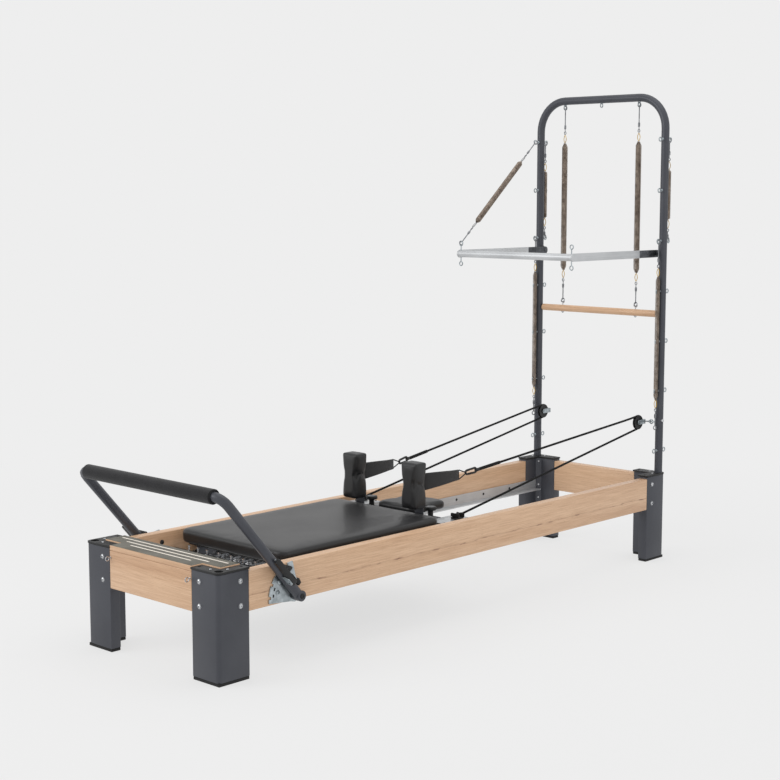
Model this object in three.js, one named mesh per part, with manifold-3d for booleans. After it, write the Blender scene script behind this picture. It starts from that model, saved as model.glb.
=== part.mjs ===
// Pilates reformer with a tower: a wooden bed frame on four steel legs, a rolling carriage on
// springs and ropes, a folding footbar at the foot end and a bent-tube tower at the head end.
// Millimetres, +Z up. X is across the bed, Y runs from the foot end to the tower end.
import * as THREE from 'three';
import { mergeVertices } from 'three/addons/utils/BufferGeometryUtils.js';
import Module from 'manifold-3d';

const wasm = await Module();
wasm.setup();

// ---- driving dimensions, y counted from the outer face of the foot end ----
const ORIGIN_Y = 1214;             // middle of the whole object's length
const GAP = 0.3;                   // clearance left between touching pieces

const FRAME_WIDTH = 667;
const FRAME_LENGTH = 2400;
const HALF_WIDTH = FRAME_WIDTH / 2;
const LEG_HEIGHT = 356;
const LEG_ARM = 125;               // outer width of each arm of the angle-shaped leg
const LEG_THICK = 38;
const LEG_CORNER = 12;
const LEG_GUSSET = 12;             // inner 45 degree strip of the tower legs
const FOOT_HEIGHT = 10;

const RAIL_THICK = 38;
const RAIL_BOTTOM = 216;
const RAIL_TOP = 343;
const RAIL_INNER_X = HALF_WIDTH - RAIL_THICK;
const PLATFORM_THICK = 16.5;       // it lies on the front board and between the leg tops
const PLATFORM_DEPTH = 126;
const PLATFORM_NOTCH = 46;

const TRACK_BOTTOM = 213;
const TRACK_WEB = 44;
const TRACK_GAUGE = 4;
const TRACK_FLANGE_INNER_X = 262;
const TRACK_FRONT_Y = 165;
const TRACK_REAR_Y = 2340;

const TOWER_X = 315;
const TOWER_Y = FRAME_LENGTH - 20;
const TOWER_RADIUS = 16;
const TOWER_TOP = 1896;
const TOWER_BEND = 126;
const TOWER_SOCKET_BOTTOM = 150;
const EYE_PITCH = 203;
const EYE_TOP_Z = 1711;
const EYE_COUNT = 6;
const LOW_EYE_Z = 449;
const EYE_REACH = 38;
const EYE_RING = 8;
const EYE_WIRE = 2.5;

const PUSH_PIVOT_Z = 1253;
const PUSH_BAR_Y = 1819;
const PUSH_BAR_RADIUS = 14;
const PUSH_ARM_INNER_X = 283;
const PUSH_ARM_THICK = 5;
const PUSH_ARM_HEIGHT = 31;
const PUSH_EYE_X = 278;
const PUSH_EYE_Z = PUSH_PIVOT_Z + 40;

const ROLL_BAR_Z = 1008;
const ROLL_BAR_RADIUS = 14;
const ROLL_BAR_HALF = 292;
const ROLL_EYE_X = 187;
const ARCH_EYE_Z = 1855;

const BAR_LEAN = 41.2 * Math.PI / 180;   // footbar arms, from upright towards the foot end
const BAR_PIVOT_Y = 313;
const BAR_PIVOT_Z = 235;
const BAR_ARM_LENGTH = 472;
const BAR_X = 357;
const BAR_RADIUS = 16;
const BAR_BEND = 36;
const GRIP_RADIUS = 24;
const GRIP_HALF = 320;
const INDEX_RADIUS = 110;
const INDEX_THICK = 5;
const INDEX_LEANS = [18.4, 41.2, 64, 86.8];

const PAD_HALF_WIDTH = 270;
const PAD_FRONT_Y = 325;
const PAD_REAR_Y = 1100;
const PAD_BOTTOM = 309;
const PAD_TOP = 358;
const PAD_CORNER = 38;
const HEADREST_HALF_WIDTH = 98;
const HEADREST_FRONT_Y = 1121;
const HEADREST_REAR_Y = 1326;
const HEADREST_BOTTOM = 331;
const HEADREST_TOP = 362;
const HEADREST_CORNER = 30;
const DECK_BOTTOM = 297.5;
const DECK_TOP = 308.5;
const DECK_HALF_WIDTH = 250;
const DECK_FRONT_Y = 365;
const DECK_REAR_Y = 1250;

const WHEEL_RADIUS = 24;
const WHEEL_CENTRE_Z = TRACK_BOTTOM + 5 + GAP + WHEEL_RADIUS;
const WHEEL_X = 273;
const WHEEL_WIDTH = 20;
const WHEEL_YS = [430, 1180];
const AXLE_RADIUS = 5;

const REST_X = 149;
const REST_WIDTH = 80;
const REST_DEPTH = 62;
const REST_FRONT_Y = 1044;
const REST_BOTTOM = 374;
const REST_HEIGHT = 171;
const KNOB_Y = 1165;

const SPRING_BAR_Y = 340;
const SPRING_Z = 278;
const SPRING_RADIUS = 13;
const SPRING_REAR_Y = 851;
const SPRING_XS = [-124, -62, 0, 62, 124];
const SPARE_POST_XS = [-172, -220];

const PULLEY_X = 246;
const PULLEY_Y = 2327;
const PULLEY_Z = 563;
const ROPE_RADIUS = 4.25;
const SHEAVE_ROPE_RADIUS = 26;
const CLEAT_ROPE = new THREE.Vector3(243, 1240, 346);
const STRAP_START = new THREE.Vector3(156, 1113, 465);
const STRAP_END = new THREE.Vector3(166, 1303, 469);
const STRAP_ROPE = new THREE.Vector3(176, 1405, 478);

// ---- materials, one function per finish ----
const finish = (color, roughness, metalness = 0) => () =>
  new THREE.MeshStandardMaterial({ color, roughness, metalness });
const maple = finish(0xcda88a, 0.5);
const charcoalPaint = finish(0x43444a, 0.45, 0.4);
const blackPlastic = finish(0x1b1b1d, 0.55);
const blackVinyl = finish(0x2a2a2c, 0.45);
const blackFoam = finish(0x202022, 0.8);
const zinc = finish(0xa9b0b3, 0.35, 0.9);
const aluminium = finish(0xc4c6c8, 0.4, 0.9);
const springSteel = finish(0x8c7f74, 0.35, 0.9);
const blackCord = finish(0x18181a, 0.85);
const blackWebbing = finish(0x1c1c1e, 0.9);

// ---- shared tools: solids in, geometries out ----
const group = new THREE.Group();
group.position.y = -ORIGIN_Y;

function addPiece(name, geometry, material) {
  const mesh = new THREE.Mesh(geometry, material());
  mesh.name = name;
  group.add(mesh);
}

function solidOf(geometry) {
  const bare = geometry.clone();
  bare.deleteAttribute('normal');
  bare.deleteAttribute('uv');
  const merged = mergeVertices(bare, 1e-4);
  return new wasm.Manifold(new wasm.Mesh({
    numProp: 3,
    vertProperties: new Float32Array(merged.attributes.position.array),
    triVerts: new Uint32Array(merged.index.array),
  }));
}

function geometryOf(solid) {
  const mesh = solid.getMesh();
  const geometry = new THREE.BufferGeometry();
  geometry.setAttribute('position', new THREE.BufferAttribute(mesh.vertProperties, 3));
  geometry.setIndex(new THREE.BufferAttribute(mesh.triVerts, 1));
  geometry.computeVertexNormals();
  return geometry;
}

function join(...geometries) {
  return geometryOf(geometries.map(solidOf).reduce((whole, next) => whole.add(next)));
}

function cut(geometry, ...tools) {
  return geometryOf(tools.map(solidOf).reduce((whole, next) => whole.subtract(next), solidOf(geometry)));
}

function block(x0, x1, y0, y1, z0, z1) {
  const geometry = new THREE.BoxGeometry(x1 - x0, y1 - y0, z1 - z0);
  return geometry.translate((x0 + x1) / 2, (y0 + y1) / 2, (z0 + z1) / 2);
}

// a round rod between two points
function rod(from, to, radius, sides = 16, endRadius = radius) {
  const start = new THREE.Vector3(...from);
  const way = new THREE.Vector3(...to).sub(start);
  const geometry = new THREE.CylinderGeometry(endRadius, radius, way.length(), sides);
  geometry.translate(0, way.length() / 2, 0);
  const up = new THREE.Vector3(0, 1, 0);
  const turn = new THREE.Quaternion().setFromUnitVectors(up, way.clone().normalize());
  return geometry.applyQuaternion(turn).translate(start.x, start.y, start.z);
}

// a lathe profile of [radius, height] pairs, stood between two points
function turned(profile, from, to, sides = 24) {
  const start = new THREE.Vector3(...from);
  const way = new THREE.Vector3(...to).sub(start).normalize();
  const geometry = new THREE.LatheGeometry(profile.map(([r, h]) => new THREE.Vector2(r, h)), sides);
  const turn = new THREE.Quaternion().setFromUnitVectors(new THREE.Vector3(0, 1, 0), way);
  return geometry.applyQuaternion(turn).translate(start.x, start.y, start.z);
}

// a shape drawn in the Y-Z plane, given its thickness along X
function sidePlate(shape, x0, x1, curveSegments = 12) {
  const geometry = new THREE.ExtrudeGeometry(shape, { depth: x1 - x0, bevelEnabled: false, curveSegments });
  const turn = new THREE.Matrix4().makeBasis(
    new THREE.Vector3(0, 1, 0), new THREE.Vector3(0, 0, 1), new THREE.Vector3(1, 0, 0));
  return geometry.applyMatrix4(turn).translate(x0, 0, 0);
}

function floorPlate(shape, z0, z1, curveSegments = 8) {
  const geometry = new THREE.ExtrudeGeometry(shape, { depth: z1 - z0, bevelEnabled: false, curveSegments });
  return geometry.translate(0, 0, z0);
}

// a path that visits its own points exactly, so a sweep puts one ring at each of them
class Route extends THREE.Curve {
  constructor(points) {
    super();
    this.points = points;
  }
  getPoint(t, target = new THREE.Vector3()) {
    const place = t * (this.points.length - 1);
    const index = Math.min(Math.floor(place), this.points.length - 2);
    return target.lerpVectors(this.points[index], this.points[index + 1], place - index);
  }
  getPointAt(u, target) {
    return this.getPoint(u, target);
  }
  getTangentAt(u) {
    const last = this.points.length - 1;
    const index = Math.round(u * last);
    const before = this.points[Math.max(index - 1, 0)];
    const here = this.points[index];
    const after = this.points[Math.min(index + 1, last)];
    const incoming = here.clone().sub(before).normalize();
    const outgoing = after.clone().sub(here).normalize();
    return incoming.add(outgoing).normalize();
  }
}

// corner points of a path, each inner corner rounded to the radius
function rounded(corners, radius, steps = 6) {
  const points = [corners[0]];
  for (let i = 1; i < corners.length - 1; i++) {
    const back = corners[i - 1].clone().sub(corners[i]).normalize();
    const ahead = corners[i + 1].clone().sub(corners[i]).normalize();
    const half = back.angleTo(ahead) / 2;
    const inward = back.clone().add(ahead).normalize();
    const centre = inward.multiplyScalar(radius / Math.sin(half)).add(corners[i]);
    const from = back.multiplyScalar(radius / Math.tan(half)).add(corners[i]).sub(centre);
    const to = ahead.multiplyScalar(radius / Math.tan(half)).add(corners[i]).sub(centre);
    const sweep = from.angleTo(to);
    const normal = from.clone().cross(to).normalize();
    for (let k = 0; k <= steps; k++) {
      points.push(from.clone().applyAxisAngle(normal, sweep * k / steps).add(centre));
    }
  }
  points.push(corners[corners.length - 1]);
  return points;
}

function tube(points, radius, sides = 12) {
  const section = new THREE.Shape();
  for (let k = 0; k < sides; k++) {
    const angle = 2 * Math.PI * k / sides;
    const x = radius * Math.cos(angle);
    const y = radius * Math.sin(angle);
    if (k === 0) section.moveTo(x, y);
    else section.lineTo(x, y);
  }
  return new THREE.ExtrudeGeometry(section, { steps: points.length - 1, extrudePath: new Route(points) });
}

function polygon(points) {
  return new THREE.Shape(points.map(([x, y]) => new THREE.Vector2(x, y)));
}

function eyeRing(x, y, z) {
  const ring = new THREE.TorusGeometry(EYE_RING, EYE_WIRE, 4, 9);
  return ring.rotateY(Math.PI / 2).translate(x, y, z);
}

// both sides of the bed: near is +X, far is -X
const SIDES = [['near', 1], ['far', -1]];

// ---- bed frame ----
function legSection(sideX, endY, inset, gusset) {
  const corner = new THREE.Vector2(sideX * HALF_WIDTH, endY > 0 ? FRAME_LENGTH : 0);
  const place = (x, y) => [corner.x - sideX * x, corner.y - (endY > 0 ? 1 : -1) * y];
  const points = [];
  for (let k = 0; k <= 4; k++) {
    const angle = Math.PI + Math.PI / 2 * k / 4;
    const x = LEG_CORNER + (LEG_CORNER - inset) * Math.cos(angle);
    const y = LEG_CORNER + (LEG_CORNER - inset) * Math.sin(angle);
    points.push(place(x, y));
  }
  points.push(place(LEG_ARM - inset, inset), place(LEG_ARM - inset, LEG_THICK - inset));
  if (gusset > 0) {
    points.push(place(LEG_THICK + gusset, LEG_THICK - inset), place(LEG_THICK - inset, LEG_THICK + gusset));
  } else {
    points.push(place(LEG_THICK - inset, LEG_THICK - inset));
  }
  points.push(place(LEG_THICK - inset, LEG_ARM - inset), place(inset, LEG_ARM - inset));
  return polygon(points);
}

function addLegs() {
  for (const [side, sign] of SIDES) {
    const frontLeg = floorPlate(legSection(sign, -1, 0, 0), FOOT_HEIGHT + GAP, LEG_HEIGHT);
    addPiece(`front_${side}_leg`, frontLeg, charcoalPaint);
    const rearLeg = floorPlate(legSection(sign, 1, 0, LEG_GUSSET), FOOT_HEIGHT + GAP, LEG_HEIGHT);
    const socket = rod([sign * TOWER_X, TOWER_Y, TOWER_SOCKET_BOTTOM], [sign * TOWER_X, TOWER_Y, 400],
      TOWER_RADIUS + 0.8, 16);
    addPiece(`rear_${side}_leg`, cut(rearLeg, socket), charcoalPaint);
    addPiece(`front_${side}_foot`, floorPlate(legSection(sign, -1, 1, 0), 0, FOOT_HEIGHT), blackPlastic);
    addPiece(`rear_${side}_foot`, floorPlate(legSection(sign, 1, 1, 0), 0, FOOT_HEIGHT), blackPlastic);
  }
}

function addRailsAndBoards() {
  const railEnd = LEG_ARM + GAP;
  for (const [side, sign] of SIDES) {
    const xs = [sign * RAIL_INNER_X, sign * HALF_WIDTH].sort((a, b) => a - b);
    addPiece(`${side}_rail`,
      block(xs[0], xs[1], railEnd, FRAME_LENGTH - railEnd, RAIL_BOTTOM, RAIL_TOP), maple);
  }
  const boardHalf = HALF_WIDTH - railEnd;
  addPiece('front_board', block(-boardHalf, boardHalf, 0, RAIL_THICK, RAIL_BOTTOM, RAIL_TOP), maple);
  addPiece('rear_board',
    block(-boardHalf, boardHalf, FRAME_LENGTH - RAIL_THICK, FRAME_LENGTH, RAIL_BOTTOM, RAIL_TOP), maple);
}

function addPlatform() {
  const tongue = HALF_WIDTH - LEG_ARM - GAP;
  const wide = RAIL_INNER_X - 2.5;
  const half = [[tongue, 0], [tongue, PLATFORM_NOTCH], [wide, PLATFORM_NOTCH], [wide, PLATFORM_DEPTH]];
  const outline = polygon([...half, ...half.map(([x, y]) => [-x, y]).reverse()]);
  const bottom = RAIL_TOP + GAP;
  addPiece('standing_platform', floorPlate(outline, bottom, bottom + PLATFORM_THICK), maple);
}

function addTracks() {
  const webX = RAIL_INNER_X - GAP;
  for (const [side, sign] of SIDES) {
    const section = polygon([[webX, 0], [webX, TRACK_WEB], [webX - TRACK_GAUGE, TRACK_WEB],
      [webX - TRACK_GAUGE, 5], [TRACK_FLANGE_INNER_X, 5], [TRACK_FLANGE_INNER_X, 0]]
      .map(([x, z]) => [sign * x, z]));
    const geometry = new THREE.ExtrudeGeometry(section,
      { depth: TRACK_REAR_Y - TRACK_FRONT_Y, bevelEnabled: false });
    geometry.rotateX(Math.PI / 2).translate(0, TRACK_REAR_Y, TRACK_BOTTOM);
    addPiece(`${side}_track`, geometry, aluminium);
  }
}

function addTower() {
  const archZ = TOWER_TOP - TOWER_RADIUS;
  const corners = [[TOWER_X, TOWER_SOCKET_BOTTOM + 2], [TOWER_X, archZ], [-TOWER_X, archZ],
    [-TOWER_X, TOWER_SOCKET_BOTTOM + 2]].map(([x, z]) => new THREE.Vector3(x, TOWER_Y, z));
  const pieces = [tube(rounded(corners, TOWER_BEND, 6), TOWER_RADIUS, 12)];
  const heights = Array.from({ length: EYE_COUNT }, (_, k) => EYE_TOP_Z - k * EYE_PITCH);
  for (const x of [TOWER_X, -TOWER_X]) {
    for (const z of [...heights, LOW_EYE_Z]) {
      const reach = EYE_REACH - EYE_RING + 1;
      pieces.push(rod([x, TOWER_Y - reach, z], [x, TOWER_Y + reach, z], 3, 6));
      pieces.push(eyeRing(x, TOWER_Y - EYE_REACH, z), eyeRing(x, TOWER_Y + EYE_REACH, z));
    }
  }
  for (const x of [-ROLL_EYE_X, 0, ROLL_EYE_X]) {
    pieces.push(rod([x, TOWER_Y, ARCH_EYE_Z + EYE_RING - 1], [x, TOWER_Y, archZ], 3, 6));
    pieces.push(eyeRing(x, TOWER_Y, ARCH_EYE_Z));
  }
  addPiece('tower_frame', join(...pieces), charcoalPaint);
}

// ---- springs under the carriage ----
function addSpringBar() {
  const half = RAIL_INNER_X - GAP;
  const pieces = [block(-half, half, SPRING_BAR_Y - 10, SPRING_BAR_Y + 10, 262, 282)];
  for (const x of [...SPRING_XS, ...SPARE_POST_XS]) {
    pieces.push(rod([x, SPRING_BAR_Y, 280], [x, SPRING_BAR_Y, 303], 4, 8));
  }
  addPiece('spring_bar', join(...pieces), charcoalPaint);
}

function springProfile(length, radius, neck, neckRadius = 3) {
  return [[0, 0], [neckRadius, 0], [neckRadius, neck], [radius, neck + radius],
    [radius, length - neck - radius], [neckRadius, length - neck], [neckRadius, length], [0, length]];
}

function addCarriageSprings() {
  const frontY = SPRING_BAR_Y + 10 + GAP;
  SPRING_XS.forEach((x, index) => {
    const profile = springProfile(SPRING_REAR_Y - frontY, SPRING_RADIUS, 18);
    addPiece(`carriage_spring_${index + 1}`,
      turned(profile, [x, frontY, SPRING_Z], [x, SPRING_REAR_Y, SPRING_Z], 10), springSteel);
  });
}

// ---- carriage ----
function addCarriageFrame() {
  const skirtX = DECK_HALF_WIDTH - 10;
  const pieces = [
    block(-DECK_HALF_WIDTH, DECK_HALF_WIDTH, DECK_FRONT_Y, DECK_REAR_Y, DECK_BOTTOM, DECK_TOP),
    block(-skirtX - 1, skirtX + 1, SPRING_REAR_Y + GAP, SPRING_REAR_Y + 14, 262, DECK_BOTTOM + 1),
  ];
  for (const [, sign] of SIDES) {
    const side = (x0, x1, y0, y1, z0, z1) =>
      block(Math.min(sign * x0, sign * x1), Math.max(sign * x0, sign * x1), y0, y1, z0, z1);
    pieces.push(side(skirtX, DECK_HALF_WIDTH, 400, 1230, 226, DECK_BOTTOM + 1));
    pieces.push(side(190, DECK_HALF_WIDTH, PAD_REAR_Y + 3, DECK_REAR_Y, DECK_TOP - 1, 326));
    pieces.push(side(186, 275, PAD_REAR_Y + 3, DECK_REAR_Y + 2, 325, 330));
    pieces.push(side(REST_X - 26, REST_X + 26, PAD_REAR_Y + 1.5, 1192, DECK_TOP - 1, 328));
    pieces.push(side(REST_X - 20, REST_X + 20, PAD_REAR_Y + 1.5, PAD_REAR_Y + 6, 327, REST_BOTTOM - GAP));
    for (const y of WHEEL_YS) {
      const head = WHEEL_X + WHEEL_WIDTH / 2 + GAP;
      pieces.push(rod([sign * (skirtX + 5), y, WHEEL_CENTRE_Z], [sign * (head + 3), y, WHEEL_CENTRE_Z],
        AXLE_RADIUS, 12));
      pieces.push(rod([sign * head, y, WHEEL_CENTRE_Z], [sign * (head + 3), y, WHEEL_CENTRE_Z], 9, 12));
      pieces.push(rod([sign * (DECK_HALF_WIDTH - 1), y, WHEEL_CENTRE_Z],
        [sign * (WHEEL_X - WHEEL_WIDTH / 2 - GAP), y, WHEEL_CENTRE_Z], 9, 12));
    }
  }
  addPiece('carriage_frame', join(...pieces), aluminium);
}

function addWheels() {
  const bore = AXLE_RADIUS + GAP;
  const profile = [[bore, 0], [WHEEL_RADIUS, 0], [WHEEL_RADIUS, WHEEL_WIDTH], [bore, WHEEL_WIDTH],
    [bore, 0]];
  for (const [side, sign] of SIDES) {
    WHEEL_YS.forEach((y, index) => {
      const inner = sign * (WHEEL_X - WHEEL_WIDTH / 2);
      addPiece(`${['front', 'rear'][index]}_${side}_wheel`,
        turned(profile, [inner, y, WHEEL_CENTRE_Z], [inner + sign, y, WHEEL_CENTRE_Z], 24), blackPlastic);
    });
  }
}

function roundedOutline(halfX, y0, y1, radius) {
  const shape = new THREE.Shape();
  shape.absarc(halfX - radius, y0 + radius, radius, -Math.PI / 2, 0);
  shape.absarc(halfX - radius, y1 - radius, radius, 0, Math.PI / 2);
  shape.absarc(-halfX + radius, y1 - radius, radius, Math.PI / 2, Math.PI);
  shape.absarc(-halfX + radius, y0 + radius, radius, Math.PI, Math.PI * 1.5);
  return shape;
}

function addPads() {
  const pad = roundedOutline(PAD_HALF_WIDTH, PAD_FRONT_Y, PAD_REAR_Y, PAD_CORNER);
  addPiece('carriage_pad', floorPlate(pad, PAD_BOTTOM, PAD_TOP, 5), blackVinyl);
  const headrest = roundedOutline(HEADREST_HALF_WIDTH, HEADREST_FRONT_Y, HEADREST_REAR_Y, HEADREST_CORNER);
  addPiece('headrest', floorPlate(headrest, HEADREST_BOTTOM, HEADREST_TOP, 5), blackVinyl);
}

function addShoulderRests() {
  const half = REST_WIDTH / 2;
  const edge = [[half - 8, 0], [half, 14], [half, 62], [half - 4, 92], [half, 122],
    [half, REST_HEIGHT - 18], [half - 16, REST_HEIGHT]];
  const profile = polygon([...edge, ...edge.map(([x, z]) => [-x, z]).reverse()]);
  for (const [side, sign] of SIDES) {
    const geometry = new THREE.ExtrudeGeometry(profile, { depth: REST_DEPTH, bevelEnabled: false });
    geometry.rotateX(Math.PI / 2).translate(sign * REST_X, REST_FRONT_Y + REST_DEPTH, REST_BOTTOM);
    addPiece(`${side}_shoulder_rest`, geometry, blackVinyl);
    const knob = [[0, 0], [11, 0], [11, 24], [22, 28], [22, 37], [19, 40], [0, 40]];
    addPiece(`${side}_rest_knob`,
      turned(knob, [sign * REST_X, KNOB_Y, 328 + GAP], [sign * REST_X, KNOB_Y, 329], 16), blackPlastic);
  }
}

function addCleats() {
  for (const [side, sign] of SIDES) {
    const x = sign * CLEAT_ROPE.x;
    const z = 330 + GAP;
    addPiece(`${side}_cord_cleat`, join(
      block(x - 15, x + 15, 1184, 1226, z, z + 7),
      rod([x, 1205, z + 5], [x, 1205, z + 15], 11, 12),
      block(x - 6, x + 6, 1180, 1239, z + 10, z + 20)), blackPlastic);
  }
}

// ---- ropes, straps and pulleys ----
const ROPE_TOP_SLOPE = Math.atan2(PULLEY_Z + SHEAVE_ROPE_RADIUS - STRAP_ROPE.z, PULLEY_Y - STRAP_ROPE.y);
const ROPE_LOW_SLOPE = Math.atan2(PULLEY_Z - SHEAVE_ROPE_RADIUS - CLEAT_ROPE.z, PULLEY_Y - CLEAT_ROPE.y);

// a straight run of rope that comes into line with its sheave just before it
function ropeLine(from, to, sign, steps) {
  const points = [];
  const inLine = 1 - 60 / from.distanceTo(to);
  for (let k = 0; k <= steps; k++) {
    const point = from.clone().lerp(to, k / steps);
    point.x = sign * (from.x + (to.x - from.x) * Math.min(1, k / steps / inLine));
    points.push(point);
  }
  return points;
}

function addRopes() {
  const topTangent = new THREE.Vector3(PULLEY_X,
    PULLEY_Y - SHEAVE_ROPE_RADIUS * Math.sin(ROPE_TOP_SLOPE),
    PULLEY_Z + SHEAVE_ROPE_RADIUS * Math.cos(ROPE_TOP_SLOPE));
  const lowTangent = new THREE.Vector3(PULLEY_X,
    PULLEY_Y + SHEAVE_ROPE_RADIUS * Math.sin(ROPE_LOW_SLOPE),
    PULLEY_Z - SHEAVE_ROPE_RADIUS * Math.cos(ROPE_LOW_SLOPE));
  for (const [side, sign] of SIDES) {
    const strapRun = ropeLine(STRAP_ROPE, topTangent, sign, 20);
    addPiece(`${side}_strap_rope`, tube(strapRun, ROPE_RADIUS, 8), blackCord);
    const carriageRun = ropeLine(CLEAT_ROPE, lowTangent, sign, 20);
    addPiece(`${side}_carriage_rope`, tube(carriageRun, ROPE_RADIUS, 8), blackCord);
  }
}

function addPulleys() {
  const groove = SHEAVE_ROPE_RADIUS - ROPE_RADIUS - GAP;
  const sheave = [[4.3, -6], [29, -6], [29, -4.6], [groove, -4.4], [groove, 4.4], [29, 4.6], [29, 6],
    [4.3, 6], [4.3, -6]];
  for (const [side, sign] of SIDES) {
    const x = sign * PULLEY_X;
    addPiece(`${side}_sheave`,
      turned(sheave, [x, PULLEY_Y, PULLEY_Z], [x + 1, PULLEY_Y, PULLEY_Z], 24), blackPlastic);
    const rearY = PULLEY_Y + 42;
    const cheek = new THREE.Shape();
    cheek.absarc(PULLEY_Y, PULLEY_Z, 10, Math.PI / 2, Math.PI * 1.5);
    cheek.lineTo(rearY, PULLEY_Z - 10);
    cheek.lineTo(rearY, PULLEY_Z + 10);
    const anchorX = sign * (TOWER_X - TOWER_RADIUS - GAP);
    addPiece(`${side}_pulley_block`, join(
      sidePlate(cheek, x - 9, x - 6.4, 6),
      sidePlate(cheek, x + 6.4, x + 9, 6),
      block(x - 8, x + 8, rearY - 8, rearY - 1, PULLEY_Z - 9, PULLEY_Z + 9),
      rod([x - 9, PULLEY_Y, PULLEY_Z], [x + 9, PULLEY_Y, PULLEY_Z], 4, 12),
      rod([x, rearY - 4, PULLEY_Z], [x + sign * 12, TOWER_Y, PULLEY_Z], 5, 10),
      rod([x + sign * 6, TOWER_Y, PULLEY_Z], [anchorX, TOWER_Y, PULLEY_Z], 5, 10)), zinc);
  }
}

// a flat strip that narrows from one end to the other
function taperedStrip(start, end, startHeight, endHeight, thickness) {
  const geometry = new THREE.BoxGeometry(thickness, 1, 1);
  const position = geometry.attributes.position;
  for (let i = 0; i < position.count; i++) {
    const t = position.getY(i) + 0.5;
    const height = startHeight + (endHeight - startHeight) * t;
    const centre = start.clone().lerp(end, t);
    position.setXYZ(i, centre.x + position.getX(i), centre.y, centre.z + position.getZ(i) * height);
  }
  return geometry;
}

function addStraps() {
  for (const [side, sign] of SIDES) {
    const mirror = (v) => new THREE.Vector3(sign * v.x, v.y, v.z);
    addPiece(`${side}_hand_strap`,
      taperedStrip(mirror(STRAP_START), mirror(STRAP_END), 62, 38, 10), blackWebbing);
    const x = sign * (STRAP_END.x + 2);
    const ringY = STRAP_END.y + 1;
    const z = STRAP_END.z;
    const triangle = polygon([[ringY, z - 18], [ringY + 40, z - 3], [ringY + 40, z + 6], [ringY, z + 18]]);
    const opening = polygon([[ringY + 4, z - 12], [ringY + 32, z - 1], [ringY + 32, z + 2],
      [ringY + 4, z + 12]]);
    const clipEnd = [sign * (STRAP_ROPE.x - 0.2), STRAP_ROPE.y - GAP - 0.3, STRAP_ROPE.z];
    addPiece(`${side}_strap_clip`, join(
      cut(sidePlate(triangle, x - 2, x + 2), sidePlate(opening, x - 3, x + 3)),
      rod([x, ringY + 36, z + 1.5], clipEnd, 6, 10)), blackPlastic);
  }
}

// ---- footbar ----
const LEAN_UP = new THREE.Vector2(-Math.sin(BAR_LEAN), Math.cos(BAR_LEAN));
const LEAN_OUT = new THREE.Vector2(Math.cos(BAR_LEAN), Math.sin(BAR_LEAN));

// y and z of a point given along the footbar's arm and square to it
function onArm(along, out) {
  const offset = LEAN_UP.clone().multiplyScalar(along).addScaledVector(LEAN_OUT, out);
  return [BAR_PIVOT_Y + offset.x, BAR_PIVOT_Z + offset.y];
}

function armPlate(points, x0, x1) {
  return sidePlate(polygon(points.map(([along, out]) => onArm(along, out))), x0, x1);
}

// a plate that lies along the arm and stands out sideways from it, between two out distances
function sidePocket(points, sign, out0, out1) {
  const outline = polygon(points.map(([along, beside]) => [along, sign * (BAR_X + beside)]));
  const geometry = new THREE.ExtrudeGeometry(outline, { depth: out1 - out0, bevelEnabled: false });
  const basis = new THREE.Matrix4().makeBasis(
    new THREE.Vector3(0, LEAN_UP.x, LEAN_UP.y),
    new THREE.Vector3(1, 0, 0),
    new THREE.Vector3(0, LEAN_OUT.x, LEAN_OUT.y));
  basis.setPosition(0, ...onArm(0, out0));
  return geometry.applyMatrix4(basis);
}

const LATCH_ALONG = 92;
const LATCH_BESIDE = 30;

function latchBracket(sign) {
  const outline = [[76, 10], [110, 10], [114, 26], [104, 40], [82, 40], [72, 28]];
  const x = sign * (BAR_X + LATCH_BESIDE);
  return [
    sidePocket(outline, sign, 10, 13),
    sidePocket(outline, sign, -13, -10),
    rod([x, ...onArm(LATCH_ALONG, -12)], [x, ...onArm(LATCH_ALONG, 12)], 3, 10),
  ];
}

function addFootbar() {
  const [topY, topZ] = onArm(BAR_ARM_LENGTH, 0);
  const [lowY, lowZ] = onArm(-14, 0);
  const corners = [[BAR_X, lowY, lowZ], [BAR_X, topY, topZ], [-BAR_X, topY, topZ], [-BAR_X, lowY, lowZ]]
    .map((point) => new THREE.Vector3(...point));
  const pieces = [tube(rounded(corners, BAR_BEND, 5), BAR_RADIUS, 12)];
  for (const [, sign] of SIDES) {
    const at = (x) => [sign * x, BAR_PIVOT_Y, BAR_PIVOT_Z];
    pieces.push(rod(at(BAR_X - BAR_RADIUS), at(BAR_X + BAR_RADIUS + 2), 19, 20));
    pieces.push(rod(at(HALF_WIDTH + GAP), at(BAR_X), 9, 14));
    pieces.push(...latchBracket(sign));
  }
  addPiece('footbar', join(...pieces), charcoalPaint);
  const bore = BAR_RADIUS + 0.5;
  const sleeve = [[bore, 0], [GRIP_RADIUS, 0], [GRIP_RADIUS, 2 * GRIP_HALF], [bore, 2 * GRIP_HALF],
    [bore, 0]];
  addPiece('footbar_grip',
    turned(sleeve, [-GRIP_HALF, topY, topZ], [GRIP_HALF, topY, topZ], 20), blackFoam);
}

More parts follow.
